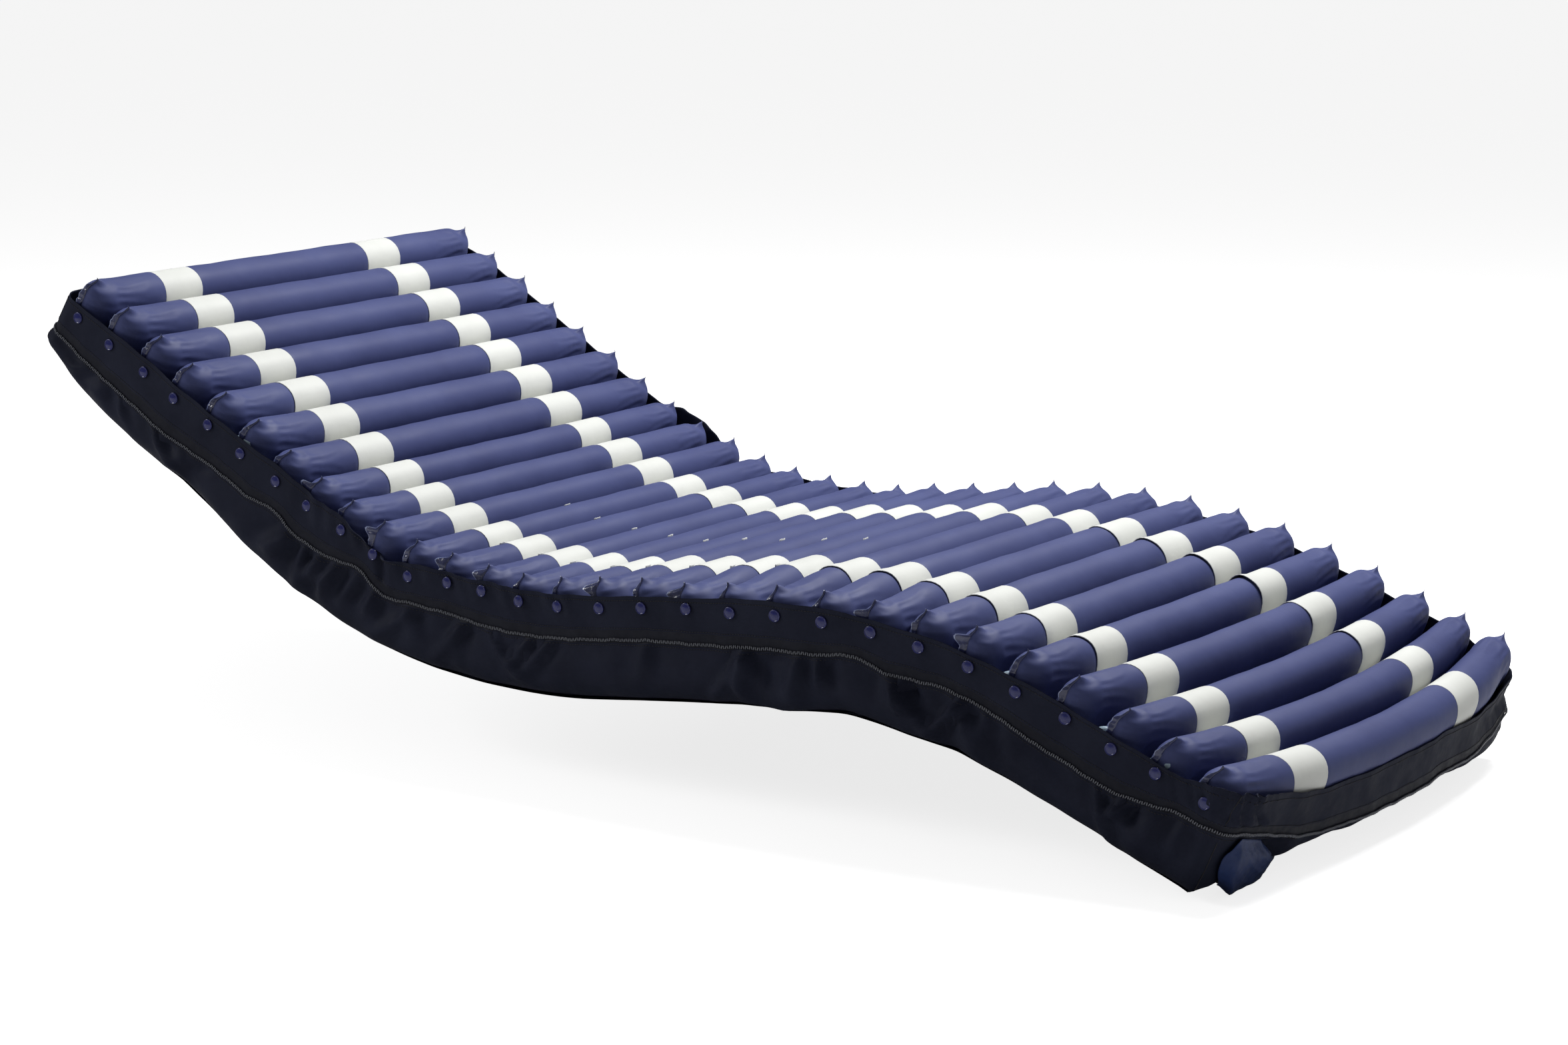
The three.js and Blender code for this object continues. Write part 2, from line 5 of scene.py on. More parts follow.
import bpy
import numpy as np
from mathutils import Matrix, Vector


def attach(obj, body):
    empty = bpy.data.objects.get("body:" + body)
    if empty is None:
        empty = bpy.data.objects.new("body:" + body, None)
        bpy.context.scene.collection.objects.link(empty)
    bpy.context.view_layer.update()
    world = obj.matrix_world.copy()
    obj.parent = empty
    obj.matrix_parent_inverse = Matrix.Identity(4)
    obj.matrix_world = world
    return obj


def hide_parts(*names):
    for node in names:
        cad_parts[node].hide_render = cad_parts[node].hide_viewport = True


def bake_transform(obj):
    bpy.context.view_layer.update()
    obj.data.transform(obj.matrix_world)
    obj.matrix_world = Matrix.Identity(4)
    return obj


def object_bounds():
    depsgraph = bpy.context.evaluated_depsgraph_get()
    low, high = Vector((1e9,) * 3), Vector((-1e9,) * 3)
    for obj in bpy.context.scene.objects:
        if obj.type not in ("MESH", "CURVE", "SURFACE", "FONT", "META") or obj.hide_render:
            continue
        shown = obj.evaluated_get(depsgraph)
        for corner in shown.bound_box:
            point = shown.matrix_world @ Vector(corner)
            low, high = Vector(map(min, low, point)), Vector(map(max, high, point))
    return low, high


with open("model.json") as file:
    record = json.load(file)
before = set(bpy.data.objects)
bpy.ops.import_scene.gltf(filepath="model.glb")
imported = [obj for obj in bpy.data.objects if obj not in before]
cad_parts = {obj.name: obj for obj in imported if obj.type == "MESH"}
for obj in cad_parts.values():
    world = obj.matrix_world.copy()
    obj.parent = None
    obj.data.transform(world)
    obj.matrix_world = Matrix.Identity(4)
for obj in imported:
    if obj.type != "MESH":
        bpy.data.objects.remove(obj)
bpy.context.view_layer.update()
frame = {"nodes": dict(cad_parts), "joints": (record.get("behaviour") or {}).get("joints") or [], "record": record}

# Lengths are in metres. A soft piece is first laid out in bed coordinates: s is the distance from the head along the
# bending line, y is across and h is the height above the underside. place() then bends it into the rest pose.
CELL_COUNT = 29
NEUTRAL_HEIGHT = 0.080
STRETCH_ENDS = (7.0, 15.0, 18.5, 26.5)  # where the two bends start and stop, in cell pitches
SEAT_MIDDLE = 16.75
HEAD_ROOM = 0.010
HALF_WIDTH = 0.434
RIM_HEIGHT = 0.134

SLICES = (  # the stretch each slice covers, in cell pitches, and the one or two bodies it follows
    (-9.0, 6.0, ("back",)),
    (6.0, 10.0, ("back", "hip_1")),
    (10.0, 12.0, ("hip_1", "hip_2")),
    (12.0, 16.0, ("hip_2", "seat")),
    (16.0, 18.0, ("seat",)),
    (18.0, 22.0, ("seat", "knee_1")),
    (22.0, 24.0, ("knee_1", "knee_2")),
    (24.0, 28.0, ("knee_2", "leg")),
    (28.0, 99.0, ("leg",)),
)

WAIST_HEIGHT = 0.085
CREST_HEIGHT = 0.169
CELL_FLOOR = 0.006
UPPER_HALF_WIDTH = 0.0332
LOWER_HALF_WIDTH = 0.0290
LOBE_POWER = 2.25
PINCH = 0.0008
SEAM_Y = 0.4285
LOWER_SEAM_Y = 0.415
ZONE = 0.104  # how far the shaped end of a cell reaches in from its weld

STRAPS = {"right": -0.2568, "left": 0.1978}
STRAP_HALF = 0.0385
STRAP_THICK = 0.0009
STRAP_DENT = 0.0013

ZIP_HEIGHT = 0.0735
STUD_HEIGHT = 0.117
STUD_RADIUS = 0.0083


# ---- the bending line, read from the frame ----

MOUNTS = {mount["name"]: mount for mount in frame["record"]["mounts"]}
JOINTS = {joint["name"]: joint for joint in frame["joints"]}


def mount_slope(name):
    """How steeply the mattress climbs towards the foot at a flat mount, whose axis points out of the underside."""
    x, _, z = MOUNTS[name]["axis"]
    return math.atan2(x, -z)


BACK_SLOPE = mount_slope("back_underside")
SEAT_SLOPE = mount_slope("seat_underside")
LEG_SLOPE = mount_slope("leg_underside")
HINGE_STEP = 3  # pitches between two hinges of a bend
KNEE_TURN = (LEG_SLOPE - SEAT_SLOPE) * HINGE_STEP / (STRETCH_ENDS[3] - STRETCH_ENDS[2])
CHORD = math.dist(JOINTS["knee_bend"]["pos_m"], JOINTS["knee_bend_mid"]["pos_m"])
PITCH = CHORD * (KNEE_TURN / 2) / math.sin(KNEE_TURN / 2) / HINGE_STEP
FOOT = CELL_COUNT * PITCH

SLOPE_AT = (BACK_SLOPE, SEAT_SLOPE, SEAT_SLOPE, LEG_SLOPE)
LINE_S = np.linspace(-0.3, FOOT + 0.3, 26001)
LINE_SLOPE = np.interp(LINE_S / PITCH, STRETCH_ENDS, SLOPE_AT)


def running_sum(rate):
    step = LINE_S[1] - LINE_S[0]
    return np.concatenate([[0], np.cumsum((rate[1:] + rate[:-1]) / 2 * step)])


LINE_X = running_sum(np.cos(LINE_SLOPE))
LINE_Z = running_sum(np.sin(LINE_SLOPE))


def on_line(s, h):
    slope = np.interp(s, LINE_S, LINE_SLOPE)
    x = np.interp(s, LINE_S, LINE_X) - (h - NEUTRAL_HEIGHT) * np.sin(slope)
    z = np.interp(s, LINE_S, LINE_Z) + (h - NEUTRAL_HEIGHT) * np.cos(slope)
    return x, z


ORIGIN_X, ORIGIN_Z = on_line(SEAT_MIDDLE * PITCH, 0.0)


def foot_lift(s, y):
    """The foot end curls up a little from its straight stretch, more on the left."""
    near, far = 0.0085, 0.0200
    share = smooth((s / PITCH - 24.3) / 4.7) ** 1.3
    return share * (near + (far - near) * (y + HALF_WIDTH) / (2 * HALF_WIDTH))


def foot_pull(s, y):
    """The left foot corner is drawn in a little towards the head."""
    return 0.010 * smooth((y - 0.24) / 0.20) * smooth((s / PITCH - 26.8) / 2.2)


def place(points):
    """Bed coordinates (s, y, h) to the frame."""
    points = np.asarray(points, float)
    s, y = points[..., 0], points[..., 1]
    x, z = on_line(s - foot_pull(s, y), points[..., 2] + foot_lift(s, y))
    return np.stack([x - ORIGIN_X, y, z - ORIGIN_Z], -1)


def bend_rate(s):
    """Radians turned per metre of bending line: positive at the hips, negative at the knees."""
    hip = (SEAT_SLOPE - BACK_SLOPE) / ((STRETCH_ENDS[1] - STRETCH_ENDS[0]) * PITCH)
    knee = (LEG_SLOPE - SEAT_SLOPE) / ((STRETCH_ENDS[3] - STRETCH_ENDS[2]) * PITCH)
    pitches = np.asarray(s) / PITCH
    at_hip = soft_box(pitches, STRETCH_ENDS[0], STRETCH_ENDS[1], 1.0)
    at_knee = soft_box(pitches, STRETCH_ENDS[2], STRETCH_ENDS[3], 1.0)
    return hip * at_hip + knee * at_knee


def smooth(t):
    t = np.clip(t, 0, 1)
    return t * t * (3 - 2 * t)


def soft_box(value, low, high, edge):
    """1 between low and high, 0 outside, with a smooth step of the given width centred on each end."""
    return smooth((value - low) / edge + 0.5) * smooth((high - value) / edge + 0.5)


def waves(value, longest, count, seed):
    """A smooth irregular wave of about unit height: a few sines with unrelated lengths."""
    draw = np.random.default_rng(seed)
    total = np.zeros_like(np.asarray(value, float))
    for octave in range(count):
        length = longest / (1.0 + 0.83 * octave)
        phase = draw.uniform(0, 2 * math.pi)
        total = total + np.sin(2 * math.pi * value / length + phase) / (1 + 0.45 * octave)
    return total / (1 + 0.35 * count)


# ---- meshes ----

def build_mesh(name, points, faces, uv, paints, paint_of_face=None, normals=None):
    mesh = bpy.data.meshes.new(name)
    faces = np.asarray(faces, np.int32)
    corners = faces.shape[1]
    mesh.vertices.add(len(points))
    mesh.vertices.foreach_set("co", np.asarray(points, np.float32).ravel())
    mesh.loops.add(faces.size)
    mesh.loops.foreach_set("vertex_index", faces.ravel())
    mesh.polygons.add(len(faces))
    mesh.polygons.foreach_set("loop_start", np.arange(0, faces.size, corners, dtype=np.int32))
    mesh.update(calc_edges=True)
    mesh.polygons.foreach_set("use_smooth", np.ones(len(faces), bool))
    layer = mesh.uv_layers.new(name="surface")
    layer.data.foreach_set("uv", np.asarray(uv, np.float32)[faces.ravel()].ravel())
    for paint in paints:
        mesh.materials.append(paint)
    if paint_of_face is not None:
        mesh.polygons.foreach_set("material_index", np.asarray(paint_of_face, np.int32))
    mesh.validate()
    if normals is not None:
        mesh.normals_split_custom_set_from_vertices(np.asarray(normals).tolist())
    piece = bpy.data.objects.new(name, mesh)
    bpy.context.scene.collection.objects.link(piece)
    return piece


def grid_faces(rows, columns, start=0, wrap=False, flip=False):
    """Four-cornered faces of a grid of points stored row by row. wrap joins the last column to the first."""
    row = np.arange(rows - 1)[:, None]
    column = np.arange(columns if wrap else columns - 1)[None, :]
    a = row * columns + column
    b = row * columns + (column + 1) % columns
    faces = np.stack([a, b, b + columns, a + columns], -1).reshape(-1, 4) + start
    return faces[:, ::-1] if flip else faces


def vertex_normals(points, faces):
    """Area-weighted normals of four-cornered faces, shared by the vertices they meet at."""
    across = points[faces[:, 2]] - points[faces[:, 0]]
    along = points[faces[:, 3]] - points[faces[:, 1]]
    face_normals = np.cross(across, along)
    total = np.zeros_like(points)
    for corner in range(4):
        np.add.at(total, faces[:, corner], face_normals)
    length = np.linalg.norm(total, axis=1, keepdims=True)
    return total / np.maximum(length, 1e-12)


def joined(parts):
    """Several (points, faces, uv, paint numbers) as one."""
    points, faces, uv, paints = [], [], [], []
    count = 0
    for part_points, part_faces, part_uv, part_paints in parts:
        points.append(part_points)
        faces.append(part_faces + count)
        uv.append(part_uv)
        paints.append(part_paints)
        count += len(part_points)
    return np.concatenate(points), np.concatenate(faces), np.concatenate(uv), np.concatenate(paints)


def follow(piece, bodies):
    """The piece rides on one body. A piece between two bodies only has its placement baked into its points."""
    if len(bodies) == 1:
        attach(piece, bodies[0])
        return
    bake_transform(piece)


def hand_over(name, bed_points, faces, uv, paints, paint_of_face=None, stands_for=None, shell_of_face=None):
    """Cuts one sewn piece where the joints begin and end, and attaches each slice that follows a single body to it.
    The slices share the whole piece's normals, so no cut line shows. shell_of_face keeps small closed parts whole."""
    world = place(bed_points)
    normals = vertex_normals(world, faces)
    middle = bed_points[faces, 0].mean(1) / PITCH
    if shell_of_face is not None:
        total = np.bincount(shell_of_face, middle)
        middle = (total / np.maximum(np.bincount(shell_of_face), 1))[shell_of_face]
    pieces = []
    for number, (low, high, bodies) in enumerate(SLICES):
        chosen = (middle >= low) & (middle < high)
        if not chosen.any():
            continue
        used, packed = np.unique(faces[chosen], return_inverse=True)
        packed = packed.reshape(-1, 4)
        numbers = None if paint_of_face is None else paint_of_face[chosen]
        piece = build_mesh(f"{name}_{number + 1}", world[used], packed, uv[used], paints, numbers, normals[used])
        follow(piece, bodies)
        if stands_for:
            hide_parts(*[f"{stands_for}_{body}" for body in bodies])
        pieces.append(piece)
    return pieces


def slice_at(pitches):
    return next(entry for entry in SLICES if entry[0] <= pitches < entry[1])


# ---- materials ----

def new_paint(name):
    paint = bpy.data.materials.new(name)
    paint.use_nodes = True
    nodes = paint.node_tree.nodes
    return paint, nodes, paint.node_tree.links, nodes["Principled BSDF"]


def noise(nodes, links, source, scale, detail=3.0, rough=0.55, stretch=None):
    node = nodes.new("ShaderNodeTexNoise")
    node.inputs["Scale"].default_value = scale
    node.inputs["Detail"].default_value = detail
    node.inputs["Roughness"].default_value = rough
    if stretch:
        mapping = nodes.new("ShaderNodeMapping")
        mapping.inputs["Scale"].default_value = stretch
        links.new(source, mapping.inputs["Vector"])
        source = mapping.outputs["Vector"]
    links.new(source, node.inputs["Vector"])
    return node.outputs["Fac"]


def colour_ramp(nodes, links, value, stops):
    ramp = nodes.new("ShaderNodeValToRGB")
    elements = ramp.color_ramp.elements
    while len(elements) < len(stops):
        elements.new(0.5)
    for element, (position, colour) in zip(elements, stops):
        element.position = position
        element.color = (*colour, 1)
    links.new(value, ramp.inputs["Fac"])
    return ramp.outputs["Color"]


def number_ramp(nodes, links, value, low, high, out_low, out_high):
    node = nodes.new("ShaderNodeMapRange")
    for key, number in (("From Min", low), ("From Max", high), ("To Min", out_low), ("To Max", out_high)):
        node.inputs[key].default_value = number
    links.new(value, node.inputs["Value"])
    return node.outputs["Result"]


def bump(nodes, links, height, distance, strength=1.0, under=None):
    node = nodes.new("ShaderNodeBump")
    node.inputs["Distance"].default_value = distance
    node.inputs["Strength"].default_value = strength
    links.new(height, node.inputs["Height"])
    if under is not None:
        links.new(under, node.inputs["Normal"])
    return node.outputs["Normal"]


def fabric(name, dark, light, rough_low, rough_high, weave, creases, cloud=9.0, shine=0.3, coat=0.0, crease_scale=26.0,
           grain=0.25):
    """Coated cloth: cloudy colour and gloss, a fine weave and soft creases."""
    paint, nodes, links, shader = new_paint(name)
    where = nodes.new("ShaderNodeTexCoord")
    spot = where.outputs["Object"]
    clouds = noise(nodes, links, spot, cloud, 4.0)
    links.new(colour_ramp(nodes, links, clouds, ((0.32, dark), (0.68, light))), shader.inputs["Base Color"])
    smear = noise(nodes, links, spot, cloud * 2.7, 5.0)
    links.new(number_ramp(nodes, links, smear, 0.3, 0.7, rough_low, rough_high), shader.inputs["Roughness"])
    folds = noise(nodes, links, spot, crease_scale, 3.0, 0.5)
    soft = bump(nodes, links, folds, creases)
    mesh_wave = nodes.new("ShaderNodeTexVoronoi")
    mesh_wave.inputs["Scale"].default_value = 1 / weave
    links.new(where.outputs["UV"], mesh_wave.inputs["Vector"])
    fine = bump(nodes, links, mesh_wave.outputs["Distance"], 0.00016, grain, soft)
    links.new(fine, shader.inputs["Normal"])
    shader.inputs["Specular IOR Level"].default_value = shine
    shader.inputs["Coat Weight"].default_value = coat
    shader.inputs["Coat Roughness"].default_value = 0.3
    return paint


def plastic(name, colour, rough, spread=0.08, metal=0.0, see_through=0.0, grain=90.0, depth=0.0002):
    """Moulded plastic or plated metal, with faint handling marks."""
    paint, nodes, links, shader = new_paint(name)
    where = nodes.new("ShaderNodeTexCoord").outputs["Object"]
    marks = noise(nodes, links, where, grain, 4.0)
    shader.inputs["Base Color"].default_value = (*colour, 1)
    links.new(number_ramp(nodes, links, marks, 0.3, 0.7, rough - spread, rough + spread), shader.inputs["Roughness"])
    links.new(bump(nodes, links, marks, depth), shader.inputs["Normal"])
    shader.inputs["Metallic"].default_value = metal
    shader.inputs["Transmission Weight"].default_value = see_through
    return paint


CELL_PAINT = fabric(
    "coated_nylon", (0.045, 0.055, 0.150), (0.058, 0.071, 0.182), 0.50, 0.64, 0.0011, 0.0017, 6.0, 0.22, 0.0, 15.0, 0.15)
FLANGE_PAINT = fabric(
    "welded_nylon", (0.016, 0.019, 0.062), (0.028, 0.034, 0.100), 0.16, 0.30, 0.0011, 0.0026, 20.0, 0.6, 0.3, 70.0)
# A lighter blue than the nylon: a painted highlight for the glint along the weld.
FLANGE_HIGHLIGHT_PAINT = fabric(
    "weld_edge_painted_highlight", (0.12, 0.15, 0.30), (0.20, 0.24, 0.42), 0.14, 0.24, 0.0011, 0.0010, 40.0, 0.9, 0.5, 90.0)
STRAP_PAINT = fabric(
    "coated_webbing", (0.58, 0.59, 0.562), (0.63, 0.64, 0.612), 0.45, 0.60, 0.0009, 0.0008, 8.0, 0.3, 0.0, 22.0)
COVER_PAINT = fabric(
    "coated_stretch_knit", (0.0110, 0.0127, 0.0240), (0.0160, 0.0184, 0.0335), 0.54, 0.70, 0.0010, 0.0020, 12.0, 0.07)
TAPE_PAINT = fabric(
    "zip_tape", (0.0050, 0.0058, 0.0120), (0.0075, 0.0086, 0.0165), 0.55, 0.70, 0.0009, 0.0004, 40.0, 0.18)
COIL_PAINT = plastic("zip_coil", (0.090, 0.095, 0.115), 0.20, 0.08)
THREAD_PAINT = plastic("sewing_thread", (0.006, 0.006, 0.009), 0.75, 0.1)
STUD_PAINT = plastic("stud_cap", (0.014, 0.017, 0.105), 0.12, 0.04)
PORT_PAINT = plastic("port_plastic", (0.46, 0.60, 0.72), 0.24, 0.08, 0.0, 0.35)
FLAP_PAINT = fabric(
    "blue_coated_cloth", (0.010, 0.022, 0.085), (0.014, 0.032, 0.120), 0.45, 0.60, 0.0011, 0.0030, 20.0, 0.3, 0.0, 40.0)
NICKEL_PAINT = plastic("nickel_plate", (0.55, 0.55, 0.56), 0.26, 0.08, 1.0)
BLACK_PLASTIC_PAINT = plastic("black_plastic", (0.022, 0.022, 0.026), 0.42)
RED_PLASTIC_PAINT = plastic("red_plastic", (0.42, 0.018, 0.016), 0.36)
TUBE_PAINT = plastic("blue_tube", (0.36, 0.52, 0.70), 0.28, 0.06, 0.0, 0.25)


# ---- air cells ----

HALF_UPPER = 45  # points from waist to crest on one side of the upper lobe
HALF_LOWER = 13
END_RINGS = 38
ROUND = 0.032  # how far in from its weld a cell reaches full width
EAR_HEIGHT = 0.1740
EAR_INSET = 0.0105
PUCKER = 0.0021
FULLNESS = 0.11  # spare cloth round the weld, gathered into puckers
NEAR_LEAN = 0.0100  # the right-hand welds are pulled towards the head


def lobe_half(count, low, high, half_width):
    """(x, h) from the foot of a lobe to its top along one side, evenly spaced along the curve."""
    angle = np.linspace(0, math.pi, 721)
    x = half_width * np.abs(np.sin(angle)) ** (2 / LOBE_POWER)
    rise = np.sign(np.cos(angle)) * np.abs(np.cos(angle)) ** (2 / LOBE_POWER)
    h = (low + high) / 2 - (high - low) / 2 * rise
    length = np.concatenate([[0], np.cumsum(np.hypot(np.diff(x), np.diff(h)))])
    even = np.linspace(0, length[-1], count)
    return np.maximum(np.interp(even, length, x), PINCH), np.interp(even, length, h)


UPPER_X, UPPER_H = lobe_half(HALF_UPPER, WAIST_HEIGHT, CREST_HEIGHT, UPPER_HALF_WIDTH)
UPPER_X[-1] = 0.0
UPPER_T = np.linspace(0, 1, HALF_UPPER)


def both_sides(half, mirror=1.0):
    """A half ring from waist to crest, then its mirror back down: footward side first."""
    return np.concatenate([half, mirror * half[..., -2::-1]], -1)


def seam_line():
    """The end weld, from waist to ear: how far in it lies, and its height."""
    inset = EAR_INSET * smooth((UPPER_T - 0.76) / 0.24) ** 1.2 + 0.002 * smooth((0.3 - UPPER_T) / 0.3)
    height = WAIST_HEIGHT + (EAR_HEIGHT - WAIST_HEIGHT) * (1 - (1 - UPPER_T) ** 1.04)
    return inset, height


def gathers(t, draw):
    """Puffs between sharp creases, as cloth makes where it is gathered into a weld."""
    count = draw.uniform(6.5, 8.5)
    swing = 0.03 * np.sin(2 * math.pi * draw.uniform(1, 2) * t + draw.uniform(0, 6))
    return PUCKER * (np.abs(np.sin(math.pi * count * (t + swing) + draw.uniform(0, 3))) - 0.62)


def end_shapes(variant):
    """Start and natural shape of the upper lobe's end, as (rings, points around, 3): x, distance in, height."""
    draw = np.random.default_rng(400 + variant)
    t = both_sides(UPPER_T)
    side = np.concatenate([np.ones(HALF_UPPER - 1), [0], -np.ones(HALF_UPPER - 1)])
    inset, height = seam_line()
    inset, height = both_sides(inset), both_sides(height)
    x_full = both_sides(UPPER_X, -1.0)
    h_full = both_sides(UPPER_H)
    way = np.linspace(0, 1, END_RINGS)[:, None] ** 1.5
    y = inset + (ZONE - inset) * way
    depth = y - inset
    round_off = np.sqrt(1 - (1 - np.clip(depth / ROUND, 0, 1)) ** 2)
    settle = smooth(depth / 0.022)
    top = smooth((t - 0.72) / 0.28)
    dip = draw.uniform(0.002, 0.004) * np.exp(-((depth - 0.015) / 0.009) ** 2) * top
    width = side * PINCH + (x_full - side * PINCH) * round_off
    h = height + (h_full - height) * settle - dip
    start = np.stack([width, np.broadcast_to(y, width.shape), h], -1)
    spare = 1 + FULLNESS * np.exp(-depth / 0.024)
    natural = np.stack([
        width * spare,
        np.broadcast_to(y, width.shape) - 0.02 * (ZONE - y),
        0.127 + (height + (h_full - height) * settle - 0.127) * spare,
    ], -1)
    return start, natural


def add_gathers(shape, variant, strength):
    """Lays the fine puckers beside the weld over a settled end, pushing along the cloth's own face."""
    draw = np.random.default_rng(430 + variant)
    t = both_sides(UPPER_T)
    depth = shape[..., 1] - shape[:1, :, 1]
    out = gathers(t, draw) * np.minimum(depth / 0.0025, 1) * np.exp(-depth / 0.014)
    out = out + 0.6 * gathers(t, draw) * np.minimum(depth / 0.004, 1) * np.exp(-depth / 0.027)
    out = strength * out * smooth((t - 0.05) * 6)
    flat = np.sqrt(np.clip(depth / ROUND, 0, 1))
    side = np.sign(shape[..., 0])
    top = smooth((t - 0.6) / 0.4)
    move = np.stack([side * out * flat * (1 - 0.7 * top), -out * (1 - flat), out * flat * top], -1)
    return shape + move


VARIANTS = 4
PRESSURE = 5.0
FRAMES = 20
MOST_MOVED = 0.010
NEAR_GATHERS, FAR_GATHERS = 1.0, 0.45  # the left-hand ends are drawn tighter over their welds


def inflate(starts, naturals):
    """Blows the cell ends up as cloth, welded along the seam and held where they join the straight cell."""
    rings, around = starts[0].shape[:2]
    points, rest, faces, held = [], [], [], []
    for number, (start, natural) in enumerate(zip(starts, naturals)):
        shift = np.array([0.2 * number, 0, 0])
        points.append((start + shift).reshape(-1, 3))
        rest.append((natural + shift).reshape(-1, 3))
        faces.append(grid_faces(rings, around, number * rings * around))
        grip = np.zeros((rings, around), bool)
        grip[0] = grip[-1] = True
        grip[:, :2] = grip[:, -2:] = True
        held.append(grip.ravel())
    points = np.concatenate(points)
    faces = np.concatenate(faces)
    blank = np.zeros((len(points), 2))
    cloth = build_mesh("cell_ends", points, faces, blank, [CELL_PAINT])
    group = cloth.vertex_groups.new(name="held")
    group.add(np.flatnonzero(np.concatenate(held)).tolist(), 1.0, "REPLACE")
    cloth.shape_key_add(name="start")
    key = cloth.shape_key_add(name="natural")
    key.data.foreach_set("co", np.concatenate(rest).astype(np.float32).ravel())
    key.value = 0.0
    modifier = cloth.modifiers.new("air", "CLOTH")
    settings = modifier.settings
    settings.quality = 6
    settings.mass = 0.25
    settings.tension_stiffness = settings.compression_stiffness = 25
    settings.shear_stiffness = 8
    settings.bending_stiffness = 0.08
    settings.tension_damping = settings.compression_damping = 6
    settings.air_damping = 2
    settings.vertex_group_mass = "held"
    settings.pin_stiffness = 1
    settings.use_pressure = True
    settings.uniform_pressure_force = PRESSURE
    settings.rest_shape_key = key
    settings.effector_weights.gravity = 0
    modifier.collision_settings.use_collision = False
    scene = bpy.context.scene
    scene.frame_start, scene.frame_end = 1, FRAMES
    modifier.point_cache.frame_start, modifier.point_cache.frame_end = 1, FRAMES
    for number in range(1, FRAMES + 1):
        scene.frame_set(number)
    ready = cloth.evaluated_get(bpy.context.evaluated_depsgraph_get()).to_mesh()
    result = np.zeros(len(points) * 3, np.float32)
    ready.vertices.foreach_get("co", result)
    moved = result.reshape(-1, 3) - points
    reach = np.linalg.norm(moved, axis=1, keepdims=True)
    moved = moved * np.minimum(1, MOST_MOVED / np.maximum(reach, 1e-9))
    moved = moved * (1 - 0.65 * smooth((points[:, 1:2] - 0.038) / 0.035))
    print("CELL ENDS moved at most", float(reach.max()), "mean", float(reach.mean()))
    mesh = cloth.data
    bpy.data.objects.remove(cloth)
    bpy.data.meshes.remove(mesh)
    scene.frame_set(1)
    shapes = (points + moved).reshape(len(starts), rings, around, 3)
    for number in range(len(starts)):
        shapes[number, ..., 0] -= 0.2 * number
    return [shape for shape in shapes]


def cell_end_library():
    pairs = [end_shapes(variant) for variant in range(VARIANTS)]
    starts = [start for start, _ in pairs]
    starts = inflate(starts, [natural for _, natural in pairs])
    return [[add_gathers(shape, variant, strength) for variant, shape in enumerate(starts)]
            for strength in (NEAR_GATHERS, FAR_GATHERS)]


NEAR_ENDS, FAR_ENDS = cell_end_library()


def strap_dent(y):
    """How far the straps press into the cells."""
    total = np.zeros_like(y)
    for centre in STRAPS.values():
        total = total + soft_box(y, centre - STRAP_HALF, centre + STRAP_HALF, 0.009)
    return STRAP_DENT * total


def mid_stations():
    """Where the straight part of a cell has rings: evenly, and closely beside each strap edge."""
    inner = SEAM_Y - ZONE
    stations = list(np.linspace(-inner, inner, 21)[1:-1])
    for centre in STRAPS.values():
        for edge in (centre - STRAP_HALF, centre + STRAP_HALF):
            stations += [edge - 0.006, edge - 0.002, edge + 0.002, edge + 0.006]
    stations = sorted(stations)
    kept = [stations[0]]
    for station in stations[1:]:
        if station - kept[-1] > 0.0025:
            kept.append(station)
    return np.array(kept)


MID_Y = mid_stations()


def fit_width(s, h):
    """Narrows a width laid out along s, so that it keeps its real size where the bed coordinates are stretched."""
    return 1 / np.maximum(1 - (h - NEUTRAL_HEIGHT) * bend_rate(s), 1.0)


def head_lift(s):
    """How far the underside rises towards the head end, where only the cells' ends show it."""
    return 0.022 * (1 - smooth((s + HEAD_ROOM) / 0.16)) ** 1.5


def cell_style(number):
    """The small ways one cell differs from the next."""
    draw = np.random.default_rng(700 + number)
    foot_bow = 0.034 * smooth((number - 22.5) / 6.5) ** 1.5
    return {
        "near": draw.integers(VARIANTS), "far": draw.integers(VARIANTS),
        "near_flip": draw.choice([-1, 1]), "far_flip": draw.choice([-1, 1]),
        "bow": draw.uniform(-0.0015, 0.0015) + foot_bow,
        "sway": draw.uniform(-0.001, 0.001),
        "lift": draw.uniform(-0.0012, 0.0012),
        "near_slip": draw.uniform(-0.003, 0.003), "far_slip": draw.uniform(-0.003, 0.003),
        "seed": int(draw.integers(1, 10 ** 6)),
        "droop": 0.0085 * float(soft_box(number, 17.4, 22.5, 1.2)) + draw.uniform(-0.001, 0.001),
    }


def slimness(number):
    """How much narrower than the rest the upper lobes of the last cells but one are."""
    return 0.06 * float(soft_box(number, 24.4, 28.6, 1.6))


def centre_shift(style, y):
    """How far a cell's middle line strays along the bed."""
    return style["bow"] * (1 - (y / SEAM_Y) ** 2) + style["sway"] * y / SEAM_Y


